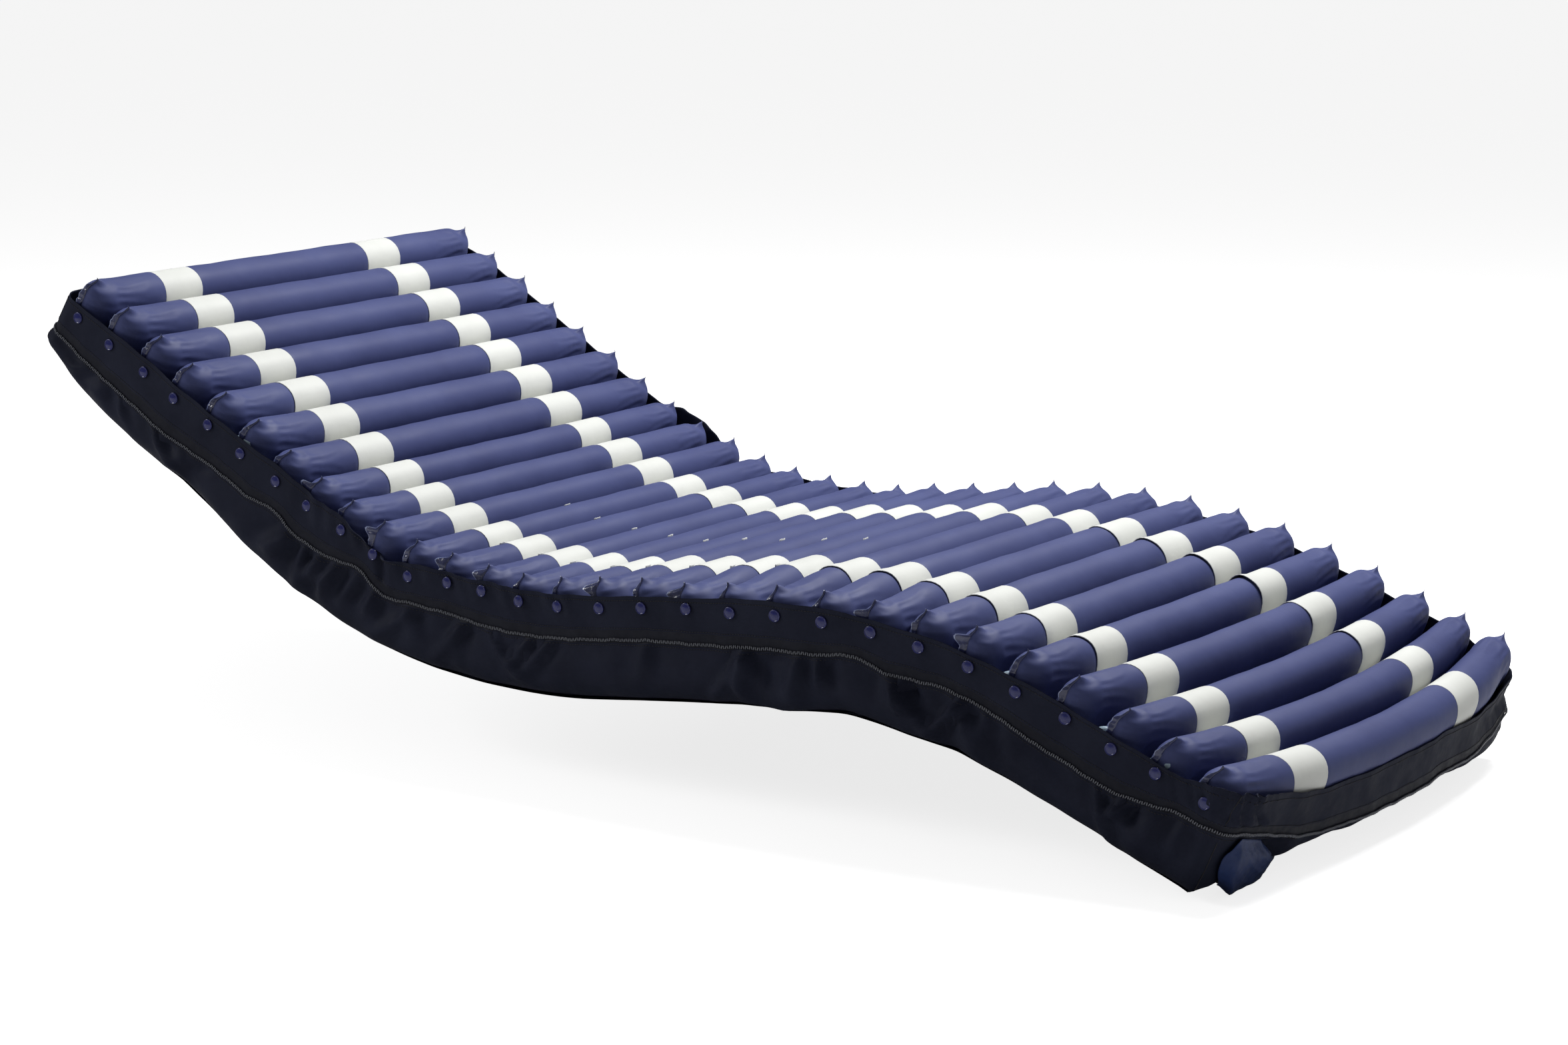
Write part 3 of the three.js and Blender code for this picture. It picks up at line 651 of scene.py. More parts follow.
def upper_lobe(number):
    style = cell_style(number)
    near = NEAR_ENDS[style["near"]].copy()
    far = FAR_ENDS[style["far"]].copy()
    for end, flip in ((near, style["near_flip"]), (far, style["far_flip"])):
        if flip < 0:
            end[:] = end[:, ::-1]
            end[..., 0] *= -1
    close = np.exp(-near[..., 1] / 0.026)
    near[..., 0] *= np.where(near[..., 0] < 0, 1 - 0.30 * close, 1)
    near[..., 0] -= NEAR_LEAN * close
    near[..., 1] = -SEAM_Y + near[..., 1]
    far[..., 1] = SEAM_Y - far[..., 1]
    for end, slip in ((near, style["near_slip"] * 0.5 + 0.0015), (far, style["far_slip"])):
        outer = smooth((np.abs(end[..., 1]) - (SEAM_Y - ZONE)) / ZONE)
        end[..., 1] += slip * outer * smooth((end[..., 2] - 0.12) / 0.05)
    x_full = both_sides(UPPER_X, -1.0)
    h_full = both_sides(UPPER_H)
    middle = np.stack(np.broadcast_arrays(x_full, MID_Y[:, None], h_full), -1)
    rings = np.concatenate([near, middle, far[::-1]])
    x, y, h = rings[..., 0], rings[..., 1], rings[..., 2]
    dent = strap_dent(y) * smooth((h - 0.095) / 0.02)
    outward = np.hypot(x, h - 0.127) + 1e-6
    bare = 1 - smooth(strap_dent(y) / STRAP_DENT * 4)
    lumps = 0.0007 * bare * waves(y + 0.3 * h, 0.19, 3, style["seed"]) * smooth((h - 0.09) / 0.03)
    swell = (lumps - dent) / outward
    slim = slimness(number) * (1 + 0.7 * smooth((-0.30 - y) / 0.05)) * smooth((h - 0.09) / 0.02)
    x = x * (1 + swell) * (1 - slim)
    h = h + (h - 0.127) * swell + style["lift"] * smooth((h - WAIST_HEIGHT) / 0.04)
    sag = style["droop"] * smooth((-0.29 - y) / 0.11) * smooth((h - WAIST_HEIGHT) / 0.06)
    return x, y, h - sag, style


def lower_lobe(number, style):
    """The static lobe under the waist, closed at both ends by its own weld."""
    s = (number - 0.5) * PITCH
    floor = CELL_FLOOR + float(head_lift(s))
    half_x, half_h = lobe_half(HALF_LOWER, WAIST_HEIGHT, floor, LOWER_HALF_WIDTH)
    y = np.concatenate([
        -LOWER_SEAM_Y + 0.05 * (1 - np.cos(np.linspace(0, math.pi / 2, 9))),
        np.linspace(-0.34, 0.34, 18),
        LOWER_SEAM_Y - 0.05 * (1 - np.cos(np.linspace(math.pi / 2, 0, 9))),
    ])[:, None]
    inward = np.clip((LOWER_SEAM_Y - np.abs(y)) / 0.05, 0, 1)
    round_off = np.sqrt(1 - (1 - inward) ** 2)
    x = both_sides(half_x, -1.0) * np.maximum(round_off, 0.03)
    tuck = 0.55 * (1 - round_off) ** 1.5
    h = both_sides(half_h)
    h = h + (WAIST_HEIGHT - h) * tuck
    return x, np.broadcast_to(y, x.shape), h


def to_bed(number, style, x, y, h):
    s = (number - 0.5) * PITCH + centre_shift(style, y) * smooth((h - 0.05) / 0.05)
    return np.stack([s + x * fit_width(s, h), y, h], -1).reshape(-1, 3)


FLANGE_STEPS = 9
FLANGE_FOLD = 0.0016
FLANGE_SKIN = 0.0004
CURLED = (8, 10, 12, 13, 16, 18, 22, 24)  # cells whose flange has a long tongue that lies along the rim


def flange(number, style, seam, sign, first, last):
    """The weld's outer strip. It stands out from the seam, then folds round along the wall, towards the head."""
    t = UPPER_T[first:last]
    seam = seam[first:last]
    near = sign < 0
    broad = (0.0070 if near else 0.002) * smooth((0.97 - t) / 0.28)
    width = (0.0026 + broad) * (1 + 0.20 * waves(t, 0.33, 3, style["seed"] + 3))
    if near and number in CURLED:
        rim_t = 0.83 if 11 <= number <= 18 else 0.76
        width = width + 0.014 * soft_box(t, rim_t - 0.08, rim_t + 0.05, 0.09)
    out = np.linspace(0, 1, FLANGE_STEPS)[:, None] ** 0.8 * width
    turned = np.minimum(out / FLANGE_FOLD, math.pi / 2)
    beyond = np.maximum(out - FLANGE_FOLD * math.pi / 2, 0)
    reach = FLANGE_FOLD * np.sin(turned)
    drift = -(FLANGE_FOLD * (1 - np.cos(turned)) + beyond)
    ripple = 0.0011 * waves(t * 0.1 + out * 0.5, 0.017, 3, style["seed"] + 8) * np.minimum(out / 0.004, 1)
    free = smooth((seam[:, 2] - 0.150) / 0.010)
    x = seam[:, 0] + drift
    y = seam[:, 1] + sign * (reach + np.where(ripple > 0, ripple * 0.3, ripple)) + sign * 0.5 * ripple * free
    lift = 0.15 + 0.45 * smooth((t - 0.86) / 0.12)
    h = seam[:, 2] + out * lift + 0.7 * ripple
    front = np.stack([x, y + FLANGE_SKIN, h], -1)
    back = np.stack([x, y - FLANGE_SKIN, h], -1)
    loop = np.concatenate([front, back[:, ::-1]], 1)
    rows, around = loop.shape[:2]
    faces = grid_faces(rows, around, wrap=True)
    paint_numbers = np.ones(len(faces), int)
    # The flange's last band, by the ear, takes the lighter blue painted highlight.
    paint_numbers[-around:] = 2
    return loop, faces, paint_numbers


def add_cell(number):
    x, y, h, style = upper_lobe(number)
    parts = []
    bed = to_bed(number, style, x, y, h)
    rings, around = x.shape
    faces = grid_faces(rings, around)
    run = np.concatenate([[0], np.cumsum(np.full(around - 1, 0.0032))])
    uv = np.stack(np.broadcast_arrays(run[None, :], y), -1).reshape(-1, 2)
    parts.append((bed, faces, uv, np.zeros(len(faces), int)))
    lx, ly, lh = lower_lobe(number, style)
    low_bed = to_bed(number, style, lx, ly, lh)
    low_faces = grid_faces(*lx.shape, flip=True)
    low_uv = np.stack([lx.ravel() + lh.ravel(), ly.ravel()], -1)
    parts.append((low_bed, low_faces, low_uv, np.zeros(len(low_faces), int)))
    for ring, sign in ((0, -1), (rings - 1, 1)):
        seam = np.stack([x[ring], y[ring], h[ring]], -1)[:HALF_UPPER]
        loop, loop_faces, loop_paints = flange(number, style, seam, sign, HALF_UPPER // 3, HALF_UPPER)
        points = to_bed(number, style, loop[..., 0], loop[..., 1], loop[..., 2])
        parts.append((points, loop_faces, points[:, 1:], loop_paints))
    bed, faces, uv, paint_numbers = joined(parts)
    low, high, bodies = slice_at(number - 0.5)
    paints = [CELL_PAINT, FLANGE_PAINT, FLANGE_HIGHLIGHT_PAINT]
    skin = build_mesh(f"cell_skin_{number:02d}", place(bed), faces, uv, paints, paint_numbers)
    follow(skin, bodies)
    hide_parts(f"air_cell_{number:02d}")


for cell in range(1, CELL_COUNT + 1):
    add_cell(cell)


# ---- retention straps ----

STRAP_LOW = 0.104  # how deep a strap goes into each valley
STRAP_POINTS = 25


def strap_path(number, gap):
    """(x, h) of the strap over one cell, from the valley on its head side to the valley on its foot side."""
    keep = UPPER_H > STRAP_LOW
    x = np.concatenate([[-UPPER_X[i] for i in np.flatnonzero(keep)], UPPER_X[keep][-2::-1]])
    h = np.concatenate([UPPER_H[keep], UPPER_H[keep][-2::-1]])
    length = np.concatenate([[0], np.cumsum(np.hypot(np.diff(x), np.diff(h)))])
    even = np.linspace(0, length[-1], STRAP_POINTS)
    x, h = np.interp(even, length, x), np.interp(even, length, h)
    outward = np.hypot(x, h - 0.127)
    swell = (gap - STRAP_DENT) / outward
    return x * (1 + swell), h + (h - 0.127) * swell


def add_strap(side, centre):
    across = np.array([-1, -0.985, -0.93, -0.6, -0.2, 0.2, 0.6, 0.93, 0.985, 1]) * STRAP_HALF
    outer, inner = [], []
    for number in range(1, CELL_COUNT + 1):
        style = cell_style(number)
        draw = np.random.default_rng(1300 + number + (77 if side == "left" else 0))
        x, h = strap_path(number, STRAP_THICK + 0.0006)
        x = x * (1 - slimness(number) * smooth((h - 0.11) / 0.02))
        t = np.linspace(0, 1, STRAP_POINTS)[:, None]
        drift = draw.uniform(-0.0028, 0.0028) + draw.uniform(-0.002, 0.002) * (t - 0.5)
        edge = 0.0009 * waves(t, 1.4, 3, 50 + number)
        y = centre + drift + across[None, :] * (1 + edge / STRAP_HALF)
        lift = np.zeros_like(y)
        if side == "left" and 22 <= number <= 27:
            height = (0.0020, 0.0030, 0.0024, 0.0034, 0.0028, 0.0022)[number - 22]
            near_edge = smooth(-(across[None, :] + 0.012) / 0.026)
            uneven = 1 + 0.5 * waves(t, 0.9, 2, 90 + number)
            lift = height * uneven * near_edge * soft_box(t, 0.3, 0.7, 0.25)
            y = y - 0.0075 * near_edge * soft_box(t, 0.42, 0.66, 0.26)
        if side == "right" and 20 <= number <= 25:
            lift = 0.0016 * soft_box(across[None, :], -0.05, -0.012, 0.02) * soft_box(t, 0.3, 0.7, 0.25)
        outward = np.hypot(x, h - 0.127)[:, None]
        for store, extra in ((outer, 0.0), (inner, -STRAP_THICK)):
            grow = 1 + (lift + extra) / outward
            px = x[:, None] * grow
            ph = 0.127 + (h[:, None] - 0.127) * grow + style["lift"]
            s_mid = (number - 0.5) * PITCH + centre_shift(style, y)
            store.append(np.stack([s_mid + px * fit_width(s_mid, ph), y, ph], -1))
    outer = np.concatenate(outer)
    inner = np.concatenate(inner)
    loop = np.concatenate([outer, inner[:, ::-1]], 1)
    rows, around = loop.shape[:2]
    run = np.concatenate([[0], np.cumsum(np.linalg.norm(np.diff(loop[:, 0], axis=0), axis=1))])
    uv = np.stack(np.broadcast_arrays(run[:, None], loop[..., 1]), -1).reshape(-1, 2)
    points = loop.reshape(-1, 3)
    faces = grid_faces(rows, around, wrap=True)
    caps = [[edge + i, edge + i + 1, edge + around - 2 - i, edge + around - 1 - i]
            for edge in (0, (rows - 1) * around) for i in range(around // 2 - 1)]
    caps = np.array(caps)
    caps[: len(caps) // 2] = caps[: len(caps) // 2, ::-1]
    faces = np.concatenate([faces, caps])
    hand_over(f"strap_{side}", points, faces, uv, [STRAP_PAINT], stands_for=f"strap_{side}")


for strap_side, strap_centre in STRAPS.items():
    add_strap(strap_side, strap_centre)


WHITE_MARK_ROWS = ((-0.078, 11, 19), (-0.302, 12, 19))  # across, first and last cell


def add_white_marks():
    """Small white marks that stand up on the head side of the seat cells."""
    for row, (across, first, last) in enumerate(WHITE_MARK_ROWS):
        for number in range(first, last + 1):
            draw = np.random.default_rng(2100 + 50 * row + number)
            style = cell_style(number)
            y = across + draw.uniform(-0.006, 0.006)
            half_length = draw.uniform(0.0060, 0.0078)
            mid_s = (number - 0.5) * PITCH + float(centre_shift(style, y))
            ring = [(-0.0115, 0.1640), (-0.0105, 0.1640), (-0.0098, 0.1694), (-0.0102, 0.1700), (-0.0106, 0.1694)]
            rings = []
            for along, size in ((-1.0, 0.3), (-0.94, 1.0), (-0.3, 1.0), (0.3, 1.0), (0.94, 1.0), (1.0, 0.3)):
                rise = draw.uniform(-0.0004, 0.0004)
                rings.append([(mid_s + (x + 0.0105) * size - 0.0105, y + along * half_length,
                               0.1670 + (h - 0.1670) * size + rise + style["lift"]) for x, h in ring])
            points = np.array(rings).reshape(-1, 3)
            faces = grid_faces(len(rings), len(ring), wrap=True)
            mark_piece = build_mesh(f"white_mark_{row + 1}_{number:02d}", place(points), faces, points[:, :2], [STRAP_PAINT])
            low, high, bodies = slice_at(number - 0.5)
            follow(mark_piece, bodies)


add_white_marks()


# ---- zipped cover ----

CORNER = 0.0238
FOOT_CORNER = 0.0380
FOOT_EDGE = FOOT + 0.010
STATION = 0.05  # of a pitch, between columns along the sides
FOOT_BOW = 0.024
HEAD_BOW = 0.006
WALL_THICK = 0.0015


def half_loop():
    """One half of the cover's outline in plan, from the middle of the head to the middle of the foot, on the near side.
    Returns s, y, and the outward direction."""
    side_s = np.arange(0.2 * PITCH, FOOT_EDGE - FOOT_CORNER, STATION * PITCH)
    head_s = side_s[0] - CORNER
    edge = HALF_WIDTH - CORNER
    foot_edge = HALF_WIDTH - FOOT_CORNER
    turn = np.linspace(0, math.pi / 2, 13)[1:-1]
    flat = np.linspace(0, edge, 56)
    foot_flat = np.linspace(foot_edge, 0, 80)
    rows = [(head_s - HEAD_BOW * (1 - (y / edge) ** 2), -y, -1.0, -HEAD_BOW * y / edge ** 2) for y in flat]
    rows += [(head_s + CORNER * (1 - math.cos(a)), -edge - CORNER * math.sin(a), -math.cos(a), -math.sin(a)) for a in turn]
    rows += [(s, -HALF_WIDTH, 0.0, -1.0) for s in side_s]
    rows += [(FOOT_EDGE - FOOT_CORNER * (1 - math.sin(a)), -foot_edge - FOOT_CORNER * math.cos(a), math.sin(a), -math.cos(a))
             for a in turn]
    rows += [(FOOT_EDGE + FOOT_BOW * (1 - (y / foot_edge) ** 2), -y, 1.0, -FOOT_BOW * y / foot_edge ** 2) for y in foot_flat]
    return np.array(rows)


HALF_LOOP = half_loop()
LOOP = np.concatenate([HALF_LOOP, HALF_LOOP[-2:0:-1] * [1, -1, 1, -1]])
LOOP[:, 2:] /= np.linalg.norm(LOOP[:, 2:], axis=1, keepdims=True)
LOOP_RUN = np.concatenate([[0], np.cumsum(np.linalg.norm(np.diff(LOOP[:, :2], axis=0), axis=1))])
LOOP_LENGTH = LOOP_RUN[-1] + np.linalg.norm(LOOP[0, :2] - LOOP[-1, :2])

TAPE_LOW, TAPE_HIGH = 0.069, 0.0865
BOTTOM_ROUND = 0.036

# The wall isn't of even height: taut bands cut the corners of the bends, and the zip wanders. Each line below is
# (place in cell pitches, millimetres above the even line).
RIM_RISE = ((0, -6), (1.5, 2), (4.5, 6), (6.5, 17), (8.4, 20), (9.7, -4), (11, 17), (12.8, 22), (15, 18), (20, 12),
            (23, 9), (26.5, 3), (27.9, 6), (28.8, 27))
STUD_RISE = ((0.5, -5), (2.5, 3), (5, 7), (8, 17), (8.8, 18), (10.4, 7), (11.5, 22), (12.5, 24), (14, 20), (17, 18),
             (19.5, 11), (23, 10), (26, 5), (27.5, 8), (28.8, 14))
ZIP_RISE = ((0, -3), (1.4, -8), (3.5, -10), (5, 3), (6.2, 7), (6.8, 20), (7.4, 9), (8.4, 14), (9.2, 27), (10, 6),
            (10.7, 17), (11.7, 23), (13, 20), (16.5, 19), (18.5, 11), (20.3, 10), (21.2, 20), (21.9, 7), (23.1, 15),
            (24, 12), (25.3, 0), (26.8, -1), (27.5, 10), (28.1, 24), (28.9, 30))
FLOOR_RISE = ((0, 40), (0.7, 27), (1.6, 12), (3.1, 8), (4.3, 19), (6.5, 2), (9.5, 2), (13, 12), (17, 9), (18.6, 5),
              (19.4, -2), (20.2, 4), (20.9, 12), (22.4, 5), (23.4, 9), (25.5, 3), (28.2, 4), (29, 9))


def rise_of(line, s, y):
    """A line's rise at a point of the outline. Across the end walls it fades from the corner's value."""
    pitches, heights = zip(*line)
    value = np.interp(np.asarray(s) / PITCH, pitches, heights) / 1000
    rounded = 0.5 * value + 0.25 * (np.interp(np.asarray(s) / PITCH - 0.18, pitches, heights)
                                    + np.interp(np.asarray(s) / PITCH + 0.18, pitches, heights)) / 1000
    return rounded * smooth((np.abs(y) - 0.20) / (HALF_WIDTH - 0.20))


def end_bow(s, y, h):
    """The foot wall bows out: most at the zip, less at the rim, and it leans in towards its bottom edge."""
    at_foot = smooth((s - (FOOT - 0.020)) / 0.024)
    share = 1 - np.clip(y / (HALF_WIDTH - FOOT_CORNER), -1, 1) ** 2
    out = np.interp(h, (0.0, 0.030, 0.0735, 0.134), (0.004, 0.022, 0.044, 0.026))
    lean_in = 0.014 * soft_box(y, -0.24, 0.26, 0.14) * smooth((0.066 - h) / 0.066)
    return at_foot * (share * (out - FOOT_BOW) - lean_in)


def square_corner(s, y, h):
    """Below the zip the foot corners are folded square: how far that stands out beyond the rounded corner."""
    along = np.maximum(s - (FOOT_EDGE - FOOT_CORNER), 0)
    across = np.maximum(np.abs(y) - (HALF_WIDTH - FOOT_CORNER), 0)
    longer = np.maximum(np.maximum(along, across), 1e-6)
    in_corner = (along > 1e-5) & (across > 1e-5)
    beyond = np.where(in_corner, FOOT_CORNER * (np.hypot(along, across) / longer - 1), 0)
    return 0.70 * beyond * smooth((0.066 - h) / 0.040)


FOLD_DRAW = np.random.default_rng(2024)
# Folds dragged out from the zip: where each starts in pitches, slant, height, width and how far down it runs.
FOLDS = [(FOLD_DRAW.uniform(low, high), FOLD_DRAW.uniform(-1.1, 1.3), FOLD_DRAW.uniform(tall / 2, tall),
          FOLD_DRAW.uniform(0.008, 0.018), FOLD_DRAW.uniform(0.035, 0.08))
         for low, high, tall, count in (
             (0.5, 6.5, 0.0095, 6), (6.5, 10.5, 0.0130, 8), (10.5, 18.0, 0.0095, 8), (18.0, 24.5, 0.0155, 12),
             (24.5, 28.4, 0.0100, 6))
         for _ in range(count)]


def drag_folds(s, y, h):
    """Ridges that fan down from the zip over the lower panel, on both sides of the bed."""
    total = np.zeros_like(s + h)
    below = ZIP_HEIGHT - h
    on_side = 1 - smooth((HALF_WIDTH - np.abs(y) - 0.002) / 0.03)
    for start, slant, tall, wide, reach in FOLDS:
        line = start * PITCH + slant * below + (0.4 * PITCH if slant > 0 else 0.0) * (y > 0)
        spread = wide * (1 + 9 * np.maximum(below, 0))
        gap = (s - line) / spread
        ridge = np.exp(-gap ** 2) - 0.55 * np.exp(-(gap - 1.3) ** 2) - 0.25 * np.exp(-(gap + 1.3) ** 2)
        total = total + tall * ridge * smooth(below / 0.012) * (1 - smooth((below - reach * 0.6) / (reach * 0.6)))
    return total * on_side


def wall_offset(run, s, y, h):
    """How far the wall's face stands out from the plan outline, folds included."""
    below = smooth((TAPE_LOW + 0.002 - h) / 0.030)
    curve = np.clip((BOTTOM_ROUND - h) / BOTTOM_ROUND, 0, 1)
    tuck = BOTTOM_ROUND * (1 - np.sqrt(1 - 0.985 * curve ** 2))
    far_corner = smooth((y - 0.14) / 0.26) * smooth((s / PITCH - 27.4) / 1.5)
    bulge = 0.0055 * below - tuck * (1 - 0.6 * far_corner) + 0.014 * far_corner * smooth((0.125 - h) / 0.05)
    at_foot = smooth((s - (FOOT - 0.02)) / 0.03)
    near_hose = at_foot * soft_box(y, -0.50, -0.28, 0.05) * soft_box(h, 0.012, 0.062, 0.02)
    on_side = 1 - smooth((HALF_WIDTH - np.abs(y) - 0.002) / 0.03)
    pressed = bend_rate(s) * (h - NEUTRAL_HEIGHT)
    rim_folds = smooth(pressed / 0.05) * smooth((h - 0.085) / 0.03) * on_side
    crushed = 0.0030 * rim_folds * (0.45 + waves(run + 0.5 * (h - 0.1), 0.075, 3, 11))
    everywhere = 0.0022 * waves(run + 0.9 * h, 0.21, 3, 13) * below + 0.0012 * waves(run + 0.25 * h, 0.16, 3, 14)
    corner = 1 - smooth(np.hypot(s - FOOT, np.abs(y) - HALF_WIDTH) / 0.13)
    near_side = smooth((0.10 - y) / 0.30)
    pucker = (0.0010 + 0.0036 * near_side) * corner * waves(run + 0.5 * h, 0.036, 3, 15) * smooth((h - 0.088) / 0.01)
    for low_end, slope in ((-0.352, 0.9), (-0.392, 0.5)):
        crease = low_end - slope * (h - 0.089)
        dent = 0.0030 * np.exp(-((y - crease - 0.012) / 0.009) ** 2) - 0.0060 * np.exp(-((y - crease) / 0.0055) ** 2)
        pucker = pucker + dent * at_foot * near_side * soft_box(h, 0.092, 0.20, 0.012)
    pinch_line = 9.72 * PITCH - 0.42 * (h - 0.11)
    pinch = -0.0075 * np.exp(-((s - pinch_line) / 0.0080) ** 2) + 0.0030 * np.exp(-((s - pinch_line - 0.018) / 0.011) ** 2)
    crushed = crushed + pinch * on_side * soft_box(h, 0.089, 0.20, 0.012)
    inset = -0.0003 * soft_box(h, TAPE_LOW + 0.002, TAPE_HIGH, 0.004)
    soft = bulge + crushed + everywhere + pucker + drag_folds(s, y, h) + end_bow(s, y, h) + square_corner(s, y, h)
    bow = FOOT_BOW * (1 - np.clip(y / (HALF_WIDTH - FOOT_CORNER), -1, 1) ** 2)
    return soft * (1 - near_hose) * (1 - keep_flat(s, y, h)) + inset - bow * near_hose


def keep_flat(s, y, h):
    """1 where a hard fitting sits on the left wall: the deflation valve and the zip slider's stretch."""
    left = smooth((y - 0.40) / 0.02)
    valve = np.exp(-(((s - 2 * PITCH) / 0.030) ** 2 + ((h - 0.105) / 0.030) ** 2) ** 2)
    slider = soft_box(s, 0.01, 0.50, 0.04) * soft_box(h, 0.060, 0.092, 0.008)
    return left * np.maximum(valve, slider)


def wall_height(run, s, y, h):
    """Moves a nominal height to where the cloth really is there."""
    flat = 1 - smooth((y - 0.40) / 0.02) * soft_box(s, -0.02, 0.51, 0.06)
    at_foot = smooth((s - (FOOT - 0.020)) / 0.024)
    floor = rise_of(FLOOR_RISE, s, y) + 0.016 * at_foot * smooth((y + 0.40) / 0.12) * (1 - 0.6 * smooth((y - 0.10) / 0.25))
    zip_line = flat * (rise_of(ZIP_RISE, s, y) + 0.0008 * waves(run, 0.05, 2, 21))
    stud = flat * rise_of(STUD_RISE, s, y)
    rim = flat * rise_of(RIM_RISE, s, y) + 0.0012 * waves(run, 0.14, 3, 31)
    far_corner = smooth((y - 0.12) / 0.28) * smooth((s / PITCH - 27.4) / 1.5)
    far_back = smooth((y - 0.20) / 0.20) * soft_box(s / PITCH, 0.6, 9.5, 2.4)
    rim = rim - 0.030 * far_corner + 0.014 * far_back
    stud = stud - 0.030 * far_corner
    zip_line = zip_line - 0.024 * far_corner
    low = np.clip(h / ZIP_HEIGHT, 0, 1)
    middle = np.clip((h - ZIP_HEIGHT) / (STUD_HEIGHT - ZIP_HEIGHT), 0, 1)
    high = np.clip((h - STUD_HEIGHT) / (RIM_HEIGHT - STUD_HEIGHT), 0, 1)
    return h + floor * (1 - low) + zip_line * (low - middle) + stud * (middle - high) + rim * high


OUTER_ROWS = (
    0.1340, 0.1333, 0.1310, 0.1270, 0.1225, 0.1170, 0.1115, 0.1060, 0.1005, 0.0955, 0.0910, 0.0880, 0.0868, 0.0860,
    0.0830, 0.0795, 0.0765, 0.0735, 0.0710, 0.0694, 0.0684, 0.0660, 0.0620, 0.0570, 0.0510, 0.0450, 0.0390, 0.0330,
    0.0270, 0.0210, 0.0160, 0.0110, 0.0070, 0.0035, 0.0010)
INNER_ROWS = (0.1333, 0.1310, 0.1225, 0.1115, 0.1005, 0.0880, 0.0735, 0.0570, 0.0390, 0.0210, 0.0070, 0.0030)
ACROSS = 27  # points across the bottom sheet


def wall_rows(heights, out):
    """A band of the wall: one row per height, one column per point of the outline, in bed coordinates."""
    s0, y0 = LOOP[:, 0], LOOP[:, 1]
    rows = []
    for h in heights:
        offset = wall_offset(LOOP_RUN, s0, y0, h) + out
        height = wall_height(LOOP_RUN, s0, y0, h)
        rows.append(np.stack([s0 + offset * LOOP[:, 2], y0 + offset * LOOP[:, 3], height], -1))
    return np.stack(rows)


def bottom_sheet(edge_row, sag, level, flip):
    """Closes the wall's lowest row with rungs from the near side to the far side. Away from its raised edges the
    sheet lies at the given level, under the cells."""
    half = len(HALF_LOOP)
    near = edge_row[:half]
    far = np.concatenate([edge_row[:1], edge_row[half:][::-1], edge_row[half - 1: half]])
    t = np.linspace(0, 1, ACROSS)[None, :, None]
    rungs = near[:, None, :] * (1 - t) + far[:, None, :] * t
    inside = 4 * t[..., 0] * (1 - t[..., 0])
    wobble = waves(rungs[..., 0] + 0.4 * rungs[..., 1], 0.31, 3, 41)
    rungs[..., 2] += sag * np.minimum(inside * 3, 1) * (1 + 0.5 * wobble)
    s, y, h = rungs[..., 0], rungs[..., 1], rungs[..., 2]
    from_edge = np.minimum(HALF_WIDTH - np.abs(y), np.minimum(s + HEAD_ROOM, FOOT_EDGE + 0.012 - s))
    below_cells = np.minimum(h, level + head_lift(s))
    rungs[..., 2] = h + (below_cells - h) * smooth(from_edge / 0.050)
    return rungs, grid_faces(half, ACROSS, flip=flip)


def add_cover():
    outer = wall_rows(OUTER_ROWS, 0.0)
    inner = wall_rows(INNER_ROWS, -WALL_THICK)
    columns = len(LOOP)
    shell = np.concatenate([inner[::-1], outer])
    rows = len(shell)
    run_uv = np.broadcast_to(LOOP_RUN[None, :], (rows, columns))
    height_uv = np.broadcast_to(shell[..., 2], (rows, columns))
    uv = np.stack([run_uv, height_uv], -1).reshape(-1, 2)
    faces = grid_faces(rows, columns, wrap=True, flip=True)
    heights = np.array(tuple(reversed(INNER_ROWS)) + OUTER_ROWS)
    level = (heights[1:] + heights[:-1]) / 2
    is_tape = (level > TAPE_LOW) & (level < TAPE_HIGH) & (np.arange(rows - 1) >= len(INNER_ROWS))
    paint_numbers = np.repeat(is_tape.astype(int), columns)
    parts = [(shell.reshape(-1, 3), faces, uv, paint_numbers)]
    for row, sag, level, flip in ((shell[-1], -0.001, 0.0010, False), (shell[0], 0.0, 0.0030, True)):
        sheet, sheet_faces = bottom_sheet(row, sag, level, flip)
        flat = sheet.reshape(-1, 3)
        parts.append((flat, sheet_faces, flat[:, :2], np.zeros(len(sheet_faces), int)))
    points, faces, uv, paint_numbers = joined(parts)
    hand_over("cover", points, faces, uv, [COVER_PAINT, TAPE_PAINT], paint_numbers, "base_cover")


add_cover()


def on_wall(run, h, out=0.0):
    """A point standing off the wall's face, with the outward and along directions, all in bed coordinates."""
    run = np.asarray(run, float) % LOOP_LENGTH
    runs = np.append(LOOP_RUN, LOOP_LENGTH)
    closed = np.vstack([LOOP, LOOP[:1]])
    s0, y0, out_s, out_y = (np.interp(run, runs, closed[:, k]) for k in range(4))
    offset = wall_offset(run, s0, y0, h) + out
    height = wall_height(run, s0, y0, h)
    point = np.stack([s0 + offset * out_s, y0 + offset * out_y, height], -1)
    outward = np.stack([out_s, out_y, np.zeros_like(out_s)], -1)
    along = np.stack([out_y, -out_s, np.zeros_like(out_s)], -1)
    return point, outward, along


